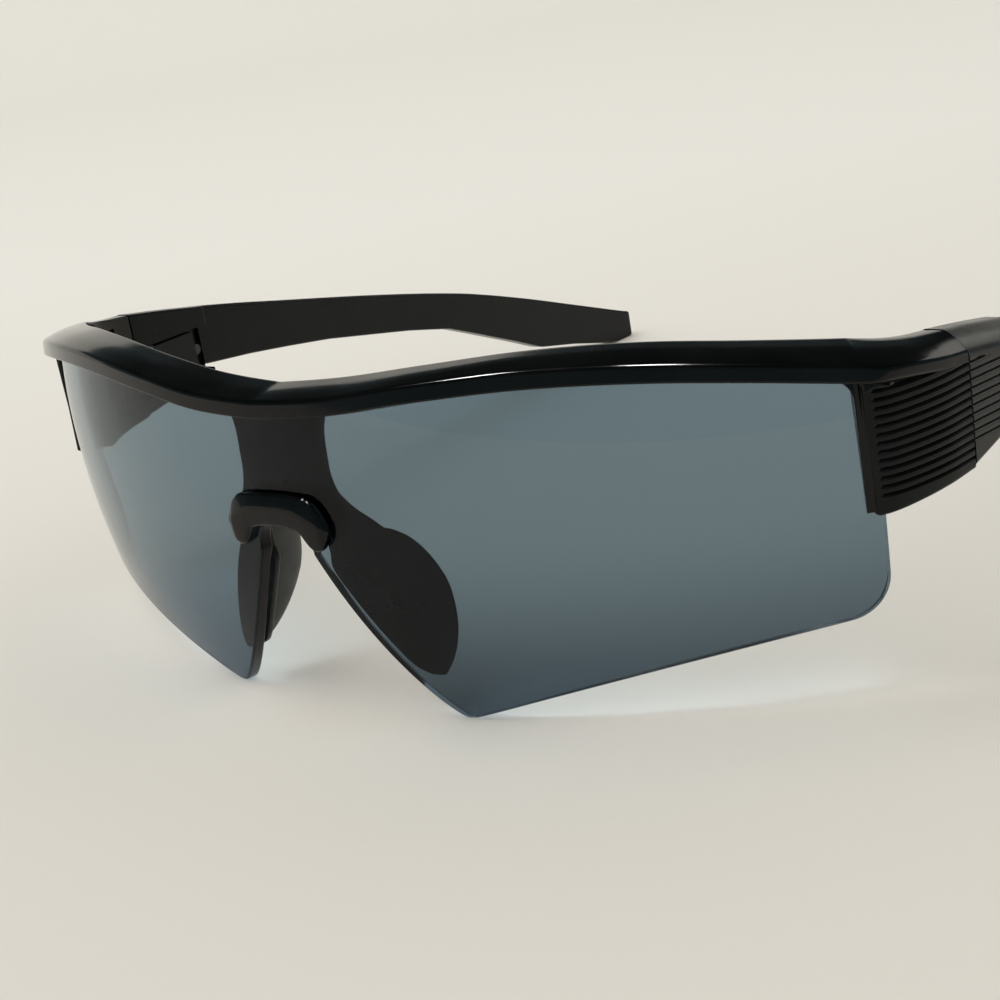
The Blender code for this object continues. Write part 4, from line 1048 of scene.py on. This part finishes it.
@dataclass
class NosePads(SubAssembly):
    """The wings that leave the post's foot, and the soft pads on them."""

    layout: Layout
    lens: ShieldLens
    centre_y: float = 0.0059
    centre_z: float = 0.0144
    back_depth: float = 0.0068
    half_height: float = 0.0087
    dome: float = 0.0012
    flat: float = 0.0003
    pad_inset: float = 0.0110
    splay: float = 0.42
    flare: float = 0.10
    lean: float = 0.13
    inset_share: float = 0.95
    roundness: float = 0.8
    close_rate: float = 2.2
    least_close: float = 0.02
    wing_back: float = 0.0007
    wing_front: float = 0.0022
    wing_fade: float = 0.3
    wing_radii: Sizes = (0.0003, 0.0004, 0.0003, 0.0003, 0.0006, 0.0003)
    wing_rows: int = 90
    flange_reach: float = 0.0005
    flange_least: float = 0.0050
    flange_thickness: float = 0.0009
    flange_start: float = 0.0215
    flange_run: float = 0.003
    root_z: Sizes = (0.0305, 0.0282, 0.0265, 0.0252, 0.0240)
    root_x: Sizes = (0.0035, 0.0041, 0.0046, 0.0049, 0.0050)
    root_widths: Sizes = (0.0022, 0.0031, 0.0044, 0.0057, 0.0062)
    root_depths: Sizes = (0.0014, 0.0015, 0.0016, 0.0020, 0.0028)
    root_inner: tuple[float, float] = (0.66, 0.33)
    root_sink: float = 0.0003

    def rim_x(self, y: Array, z: Array) -> Array:
        """The pad's rim splays outwards as it goes down, and a little as it goes back."""
        return self.pad_inset - self.splay * (z - self.centre_z) + self.flare * (y - self.centre_y)

    def bow(self, z: Array) -> Array:
        """Share of the greatest width at a height: sqrt(1 - u^2), with u the height's share of the half height."""
        return np.sqrt(np.clip(1 - ((z - self.centre_z) / self.half_height) ** 2, 0.0, 1.0))

    def back(self, z: Array) -> Array:
        """How far back pad and wing reach: half an ellipse, which leans forward in its lower half."""
        return self.centre_y + self.back_depth * self.bow(z) - self.lean * np.maximum(self.centre_z - z, 0.0)

    def notch_x(self, z: Array) -> Array:
        """Where the notch's side stands at a height: its bent slope, solved for the share of the way down."""
        lens = self.lens
        bend = lens.notch_bend
        share = np.clip(1 - z / lens.notch_height, 0.0, 1.0)
        t = (1 + bend - np.sqrt((1 + bend) ** 2 - 4 * bend * share)) / (2 * bend)
        return lens.notch_arc + (lens.tip_arc - lens.notch_arc) * t

    def root(self) -> Array:
        """The wing's root: levels of six corners, sunk into the post at its top."""
        x, width, depth, z = map(np.array, (self.root_x, self.root_widths, self.root_depths, self.root_z))
        sunk = self.layout.lens_clearance + np.linspace(self.root_sink, NUDGE, x.size)
        near, far = (self.layout.surface.behind(place, z, sunk) for place in (x, x + width))
        corners = ((x, near), (x + width, far), (x + width, far + depth), (x, near + depth),
                   *((x, near + depth * share) for share in self.root_inner))
        return np.stack([columns(*corner, z) for corner in corners], axis=1)

    def wing_rings(self) -> Array:
        """The wing: six corners a level, smoothed from the post's foot down to the pad's lower end.

        Its front edge runs behind the lens to the notch's side and a little beyond, as a thin flange.
        """
        surface, clear = self.layout.surface, self.layout.lens_clearance
        seat = self.flat + self.layout.fit_gap
        z = self.centre_z + self.half_height * np.cos(np.linspace(0.0, math.pi, 15)[2:-1])
        foot = self.rim_x(self.centre_y, z) + seat
        fade = (1 - ((z - self.centre_z) / self.half_height) ** 2) ** self.wing_fade
        front = surface.behind(foot + self.wing_front * fade, z, clear)
        back = np.maximum(self.back(z), front + self.wing_back)
        inner, inner_back = self.rim_x(front, z) + seat, self.rim_x(back, z) + seat
        edge = np.maximum(self.notch_x(z), self.flange_least) \
            - self.flange_reach * ease((self.flange_start - z) / self.flange_run)
        tip = inner - (inner - edge) * np.where(z > self.centre_z, 1.0, np.minimum(1.0, 2 * self.bow(z)))
        tip_front = surface.behind(tip, z, clear)
        corners = ((tip, tip_front), (inner + self.wing_front * fade, front), (inner_back + self.wing_back, back),
                   (inner_back, back), (inner, surface.behind(inner, z, clear) + self.flange_thickness),
                   (tip, tip_front + self.flange_thickness))
        rings = np.concatenate([self.root(), np.stack([columns(*corner, z) for corner in corners], axis=1)])
        places = np.concatenate([[0.0], np.cumsum(np.linalg.norm(np.diff(rings.mean(axis=1), axis=0), axis=1))])
        dense = smooth_values(places, rings, np.linspace(0.0, places[-1], self.wing_rows))
        return rounded_rings(dense, np.array(self.wing_radii), 6)

    def pad_rings(self) -> Array:
        """The pad: flat on the wing and domed towards the nose, as an ellipse whose rim closes at both ends.

        At a level the outline is (middle + half cos a, rim - bulge sin a), where the bulge is the dome on the
        nose's side and a thin flat on the wing's.

        Returns:
            (levels, points, 3).
        """
        half = self.half_height * self.inset_share
        z = (self.centre_z + half * np.cos(np.linspace(0.0, math.pi, 49)))[:, None]
        front = self.layout.surface.behind(self.rim_x(self.centre_y, z), z, self.layout.lens_clearance) \
            + self.flange_thickness
        back = np.maximum(self.centre_y + (self.back(z) - self.centre_y) * self.inset_share, front + self.dome)
        fade = np.sqrt(np.clip(1 - ((z - self.centre_z) / half) ** 2, 0.0, 1.0))
        close = np.maximum(np.minimum(1.0, (fade * self.close_rate) ** self.roundness), self.least_close)
        around = np.linspace(0.0, 2 * math.pi, 72, endpoint=False)[None, :]
        y = (front + back) / 2 + (back - front) / 2 * np.cos(around) * close
        lift = np.sign(np.sin(around)) * np.abs(np.sin(around)) ** self.roundness
        bulge = np.where(lift > 0, self.dome, self.flat) * np.maximum(fade, self.least_close)
        return columns(self.rim_x(y, z) - bulge * lift, y, z)

    def build(self, finishes: Finishes) -> None:
        """Both wings and both pads."""
        for side in Side:
            wing = self.place(f"pad_wing_{side.word}", self.wing_rings(), side)
            self.dress(wing, finishes.satin, Slot.FRAME, "front", "brow_frame")
            pad = self.place(f"nose_pad_soft_{side.word}", self.pad_rings(), side, sharp=60.0)
            self.dress(pad, finishes.rubber, Slot.PAD, "front", f"nose_pad_{side.word}")


@dataclass
class NoseClip(SubAssembly):
    """The gloss saddle over the top of the notch, with a ridge along it and two rounded legs."""

    layout: Layout
    lens: ShieldLens
    arcs: Sizes = (0.0, 0.0015, 0.0030, 0.0036, 0.0042, 0.0047, 0.0052, 0.0059, 0.0066, 0.0070,
                               0.0074, 0.0078)
    tops: Sizes = (0.0293, 0.0293, 0.0292, 0.0292, 0.0291, 0.0291, 0.0290, 0.0286, 0.0279,
                               0.0273, 0.0265, 0.0254)
    lows: Sizes = (0.0253, 0.0253, 0.0251, 0.0249, 0.0243, 0.0235, 0.0229, 0.0226, 0.0228,
                               0.0232, 0.0239, 0.0248)
    radii: Sizes = (0.0001, 0.0007, 0.0004, 0.0006, 0.0001, 0.0001, 0.00005)
    proud: float = 0.0014
    lower_set: float = 0.00010
    upper_share: float = 0.62
    ridge_share: float = 0.38
    side_radius: float = 0.0012
    side_share: float = 0.65
    shelf_run: float = 0.0003
    least_height: float = 0.00005

    def rings(self) -> Array:
        """Sections across the arc: top, ridge and lower face ahead of the lens, and a lip under the notch."""
        surface, layout = self.layout.surface, self.layout
        end = self.arcs[-1]
        half = end * np.sin(np.linspace(0.0, math.pi / 2, 60))
        arcs = np.concatenate([-half[:0:-1], half])
        high, low = (smooth_values(self.arcs, values, np.abs(arcs)) for values in (self.tops, self.lows))
        inward = np.clip((np.abs(arcs) - (end - self.side_radius)) / self.side_radius, 0.0, 1.0)
        face = -self.proud * np.sqrt(1 - self.side_share * inward ** 2)
        gap = -layout.fit_gap
        back = surface.thickness + layout.lens_clearance - layout.fit_gap
        notch = self.lens.low_edge(arcs) - layout.fit_gap
        line = np.maximum(notch, low + self.least_height)
        floor = gap + (back - gap) * np.clip((notch - low) / self.shelf_run, 0.0, 1.0)
        ridge = high - (high - low) * self.ridge_share
        depths = columns(gap, face * self.upper_share, face, face + self.lower_set, floor, floor, gap)
        corners = surface.point(arcs[:, None], columns(high, high, ridge, low, low, line, line), depths)
        return rounded_rings(corners, np.array(self.radii), FINE)

    def build(self, finishes: Finishes) -> None:
        """The saddle."""
        clip = self.place("nose_saddle", self.rings(), sharp=42.0)
        self.dress(clip, finishes.gloss, Slot.FRAME, "front", "nose_clip")


@dataclass
class Temple(SubAssembly):
    """A temple: ribbed block in front, slim arm behind, hinge pocket in the inner side."""

    layout: Layout
    block_length: float = 0.0148
    block_stations: int = 60
    block_setback: float = 0.0003
    arm_inset: float = 0.0003
    arm_lap: float = 0.0006
    arm_thickness: float = 0.0034
    arm_shift: float = 0.0026
    arm_radii: Sizes = (0.0005, 0.0008, 0.0016, 0.0008, 0.0005)
    arm_stations: int = 150
    reaches: Sizes = (0.0, 0.0078, 0.0158, 0.0242, 0.0328, 0.0419, 0.0513, 0.0611, 0.0713,
                                  0.0768, 0.0819, 0.0882, 0.0951, 0.1044, 0.1118, 0.1178, 0.1223)
    tops: Sizes = (0.0388, 0.0374, 0.0358, 0.0340, 0.0320, 0.0299, 0.0277, 0.0253, 0.02265,
                               0.0211, 0.0195, 0.0174, 0.0150, 0.0116, 0.0089, 0.0067, 0.0051)
    lows: Sizes = (0.0290, 0.0278, 0.0267, 0.0257, 0.0244, 0.0229, 0.0209, 0.0188, 0.0162,
                               0.0139, 0.0117, 0.0090, 0.0059, 0.0038, 0.0018, 0.0005, 0.0005)
    block_lows: tuple[float, float] = (0.0234, 0.0257)
    crest_share: float = 0.52
    arm_crest_share: float = 0.45
    crease_drop: float = 0.0025
    face: float = 0.0018
    bulge: float = 0.00022
    bulge_lean: float = 0.7
    upper_radii: Sizes = (0.0004, 0.0005, WIDE, 0.0007)
    droop: float = 0.09
    rib_drop: float = 0.0009
    inner_rounding: float = 0.0004
    inner_levels: int = 14
    pocket_lead: float = 0.0016
    pocket_depth: float = 0.0022
    screw_bay: float = 0.0036
    neck_depth: float = 0.0012
    block_radius: float = 0.0003
    end_radius: float = 0.0009

    @property
    def block_end(self) -> float:
        """Where the ribbed block and the hinge pocket end."""
        return self.layout.seam_y + self.block_length

    @property
    def pocket_start(self) -> float:
        """Where the hinge pocket starts."""
        return self.layout.seam_y + self.pocket_lead

    @property
    def channel_end(self) -> float:
        """Where the channel for the hinge's neck ends: the middle of the pocket ahead of the screw's bay."""
        return (self.pocket_start + self.block_end - self.screw_bay) / 2

    @property
    def neck(self) -> tuple[float, float]:
        """Bottom and top of the channel for the hinge's neck."""
        low, high = self.layout.barrels[1]
        return low - self.layout.fit_gap, high + self.layout.fit_gap

    def top(self, y: Array) -> Array:
        """Height of the temple's upper edge."""
        return smooth_values(self.layout.seam_y + np.array(self.reaches), self.tops, y)

    def low(self, y: Array) -> Array:
        """Height of the arm's lower edge."""
        return np.interp(y, self.layout.seam_y + np.array(self.reaches), self.lows)

    def hollow(self, y: Array, z: Array) -> Array:
        """Depth of the hollows in the inner side: the pocket, and the channel for the hinge's neck."""
        low, high = self.layout.hinge_span
        pocket = (y > self.pocket_start) & (y < self.block_end) & (z > low) & (z < high)
        channel = (y < self.channel_end) & (z > self.neck[0]) & (z < self.neck[1])
        return np.maximum(pocket * self.pocket_depth, channel * (self.neck_depth + self.layout.fit_gap))

    def block_rings(self) -> Array:
        """The block: sections across its length with the grooves in the outer side and the hollows inside."""
        layout, ribs = self.layout, self.layout.ribs
        outer, inner = layout.seam_outer, layout.seam_inner
        marks = np.array([self.pocket_start, self.channel_end, self.block_end - self.inner_rounding])
        even = np.linspace(layout.seam_y + layout.fit_gap / 2, self.block_end - self.block_setback,
                           self.block_stations)
        y = np.unique(np.concatenate([even, marks - NUDGE, marks + NUDGE]))[:, None]
        t = (y - layout.seam_y) / self.block_length
        crest = self.top(y[:, 0])[:, None]
        crease = crest - self.crease_drop
        bottom = self.block_lows[0] + (self.block_lows[1] - self.block_lows[0]) * t
        top = crease - self.rib_drop

        def at(x: Array, z: Array) -> Array:
            """Points of each section at sideways places and heights."""
            return columns(x, y, z)

        shoulder = outer - layout.seam_width * self.crest_share
        middle = (shoulder + outer) / 2 + self.bulge * self.bulge_lean
        upper = at(np.array([inner, inner, shoulder, middle, outer, outer]),
                   np.hstack([crest - OFF, crest, crest, (crest + crease) / 2 + self.bulge, crease,
                              crease - self.face]))
        drop = self.droop * self.block_length * t
        level, _, inset = ribs.side(bottom, top, crease - ribs.clear / 2, drop, self.block_end - y)
        side = at(outer - inset, level)
        lower = at(np.array([outer - ribs.draft, outer - ribs.draft, inner, inner]),
                   np.hstack([bottom + OFF, bottom, bottom, bottom + OFF]))
        edges = np.array([*layout.hinge_span, *self.neck])
        even = np.linspace(self.block_lows[0], self.tops[0], self.inner_levels)
        heights = np.sort(np.concatenate([even, edges - NUDGE, edges + NUDGE]))
        inside = at(inner, np.clip(heights, bottom + ribs.corner, crest - self.inner_rounding))
        inside[..., 0] += self.hollow(inside[..., 1], inside[..., 2])
        rings = np.hstack([rounded_chain(upper, np.array(self.upper_radii), FINE), side,
                           rounded_chain(lower, np.array([ribs.corner, ribs.corner]), COARSE), inside])
        return np.concatenate([rings, rounded_end(rings[-1], REARWARDS, self.block_radius, 4)])

    def arm_rings(self) -> Array:
        """The arm: five rounded corners a section, which closes in with the square of its length."""
        seam_y = self.layout.seam_y
        y = np.linspace(self.block_end - self.arm_lap, seam_y + self.reaches[-1] - self.end_radius, self.arm_stations)
        share = (y - seam_y) / self.reaches[-1]
        outer = self.layout.seam_outer - self.arm_inset - self.arm_shift * share ** 2
        inner = outer - self.arm_thickness
        top, low = self.top(y), self.low(y)
        x = columns(inner, inner + self.arm_thickness * self.arm_crest_share, outer, outer, inner)
        z = columns(top, top, top - self.arm_thickness / 2, low, low)
        rings = rounded_rings(columns(x, y[:, None], z), np.array(self.arm_radii), 9)
        return np.concatenate([rings, rounded_end(rings[-1], REARWARDS, self.end_radius, 6)])

    def build(self, finishes: Finishes) -> None:
        """Both temples."""
        for side in Side:
            for name, rings, sharp in (("block", self.block_rings(), 38.0), ("arm", self.arm_rings(), SHARP)):
                piece = self.place(f"temple_{name}_{side.word}", rings, side, sharp)
                self.dress(piece, finishes.satin, Slot.TEMPLE, side.temple_body, f"temple_{side.word}")


@dataclass
class Hardware:
    """The hinges and screws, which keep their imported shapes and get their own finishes."""

    hinge_nodes: tuple[str, ...] = ("frame_hinge", "temple_hinge")
    screw_nodes: tuple[str, ...] = ("hinge_screw", "temple_screw")

    def build(self, finishes: Finishes) -> None:
        """Dresses each node."""
        for side in Side:
            for names, finish in ((self.hinge_nodes, finishes.hinge), (self.screw_nodes, finishes.steel)):
                for name in names:
                    node = frame["nodes"][f"{name}_{side.word}"]
                    node.material_slots[0].material = finish
                    log.info("%s: packed shape, %s", node.name, finish.name)


@dataclass(frozen=True)
class Lamp:
    """A soft rectangular light: a mirrored one shows only in glossy surfaces, the other kind lights matt ones."""

    name: str
    place: Place
    size: tuple[float, float]
    power: float
    colour: Colour = (1.0, 0.99, 0.97)
    mirrored: bool = True
    aim: Place = (0.0, -0.03, 0.02)

    def build(self) -> None:
        """Hangs the light and turns it to the glasses."""
        data = bpy.data.lights.new(self.name, "AREA")
        data.shape = "RECTANGLE"
        data.size, data.size_y = self.size
        data.energy, data.color = self.power, self.colour
        lamp = bpy.data.objects.new(self.name, data)
        lamp.location = self.place
        lamp.visible_diffuse = lamp.visible_transmission = not self.mirrored
        lamp.visible_glossy = self.mirrored
        lamp.rotation_euler = (Vector(self.aim) - Vector(self.place)).to_track_quat("-Z", "Y").to_euler()
        bpy.context.scene.collection.objects.link(lamp)


@dataclass
class Studio:
    """Pale paper that curves up behind the glasses, soft lights and the camera."""

    azimuth: float = math.radians(40.59)
    elevation: float = math.radians(17.66)
    roll: float = math.radians(-9.67)
    camera_place: Place = (0.16919, -0.237787, 0.09648)
    focal_length: float = 74.77
    floor_front: float = 0.24
    floor_back: float = 0.80
    floor_rows: int = 30
    cove_radius: float = 0.35
    wall_height: float = 0.46
    half_width: float = 1.8
    # Painted shade darkens the paper in front and painted light lightens it behind.
    paper_front_painted_shade: Colour = (0.780, 0.748, 0.680)
    paper_back_painted_light: Colour = (0.900, 0.888, 0.836)
    room: Colour = (0.80, 0.785, 0.755)
    room_strength: float = 0.94
    dim_ahead: Colour = (0.20, 0.29, 0.31)
    dim_above: Colour = (0.028, 0.030, 0.030)
    dim_end: float = 0.5
    lamps: tuple[Lamp, ...] = (
        Lamp("soft_light", (-0.45, -0.35, 1.25), (0.9, 0.9), 3.6, mirrored=False),
        Lamp("far_panel", (-0.41, -0.62, 1.25), (0.20, 0.26), 24.0),
        Lamp("near_panel", (0.255, -0.535, 1.31), (0.18, 0.28), 24.0),
        Lamp("rear_panel", (0.266, 0.73, 0.346), (0.34, 0.22), 0.45, (1.0, 0.97, 0.90)))

    def backdrop(self) -> None:
        """The paper: a floor, a quarter circle and a wall, carried sideways along a straight line."""
        turn = np.linspace(0.0, math.pi / 2, 25)[1:]
        run = np.concatenate([np.linspace(-self.floor_front, self.floor_back, self.floor_rows),
                              self.floor_back + self.cove_radius * np.sin(turn),
                              [self.floor_back + self.cove_radius]])[:, None, None]
        rise = np.concatenate([np.zeros(self.floor_rows), self.cove_radius * (1 - np.cos(turn)),
                               [self.wall_height]])[:, None, None]
        side = np.linspace(-self.half_width, self.half_width, 9)[:, None]
        forward = np.array([-math.sin(self.azimuth), math.cos(self.azimuth), 0.0])
        across = np.array([math.cos(self.azimuth), math.sin(self.azimuth), 0.0])
        points = run * forward + rise * np.array([0.0, 0.0, 1.0]) + side * across
        index = np.arange(points.size // 3).reshape(points.shape[:2])
        faces = columns(index[:-1, :-1], index[:-1, 1:], index[1:, 1:], index[1:, :-1]).reshape(-1, 4)
        mesh = bpy.data.meshes.new("paper_sweep")
        mesh.from_pydata(points.reshape(-1, 3).tolist(), [], faces.tolist())
        mesh.shade_smooth()
        mesh.materials.append(Paper("pale_paper", self.paper_front_painted_shade, self.paper_back_painted_light, tuple(forward)).material())
        paper = bpy.data.objects.new("paper_sweep", mesh)
        bpy.context.scene.collection.objects.link(paper)

    def light(self) -> None:
        """An even pale room that lights the matt surfaces, a dim one for the gloss, and the lamps.

        Glossy rays see a room that is dim ahead of the glasses and nearly black overhead; every other ray sees
        the pale one.
        """
        world = bpy.data.worlds.new("pale_room")
        bpy.context.scene.world = world
        shader = Shader(world, "ShaderNodeOutputWorld")
        pale = shader.add("ShaderNodeBackground", {"Color": (*self.room, 1.0), "Strength": self.room_strength})
        tint = shader.tint(shader.height("Generated"), self.dim_ahead, self.dim_above, 0.0, self.dim_end)
        dim = shader.add("ShaderNodeBackground", {"Color": tint})
        path = shader.add("ShaderNodeLightPath", {})
        mirrored = shader.add("ShaderNodeMath", {0: path.outputs["Is Glossy Ray"],
                                                 1: path.outputs["Is Transmission Ray"]},
                              operation="SUBTRACT", use_clamp=True)
        shader.finish(pale, mirrored.outputs["Value"], dim)
        for lamp in self.lamps:
            lamp.build()

    def camera(self) -> None:
        """The camera at the photograph's angle, turned a little about its own axis."""
        back = Vector((math.sin(self.azimuth) * math.cos(self.elevation),
                       -math.cos(self.azimuth) * math.cos(self.elevation), math.sin(self.elevation)))
        right = (-back).cross(Vector((0.0, 0.0, 1.0))).normalized()
        up = right.cross(-back)
        across = right * math.cos(self.roll) + up * math.sin(self.roll)
        above = -right * math.sin(self.roll) + up * math.cos(self.roll)
        data = bpy.data.cameras.new("photo_camera")
        data.lens = self.focal_length
        data.sensor_width = 36.0
        data.clip_start = 0.01
        camera = bpy.data.objects.new("photo_camera", data)
        turn = Matrix((across, above, back)).transposed().to_4x4()
        camera.matrix_world = Matrix.Translation(self.camera_place) @ turn
        bpy.context.scene.collection.objects.link(camera)
        bpy.context.scene.camera = camera

    def build(self) -> None:
        """Everything round the glasses."""
        self.backdrop()
        self.light()
        self.camera()
        bpy.context.scene.view_settings.view_transform = "Standard"


def main() -> None:
    """Builds every sub-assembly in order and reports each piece."""
    logging.basicConfig(level=logging.INFO, format="%(name)s: %(message)s")
    layout = Layout()
    finishes = Finishes()
    Studio().build()
    lens = ShieldLens(layout)
    for assembly in (lens, BrowFrame(layout), NosePads(layout, lens), NoseClip(layout, lens), Temple(layout),
                     Hardware()):
        assembly.build(finishes)


if __name__ == "__main__":
    main()
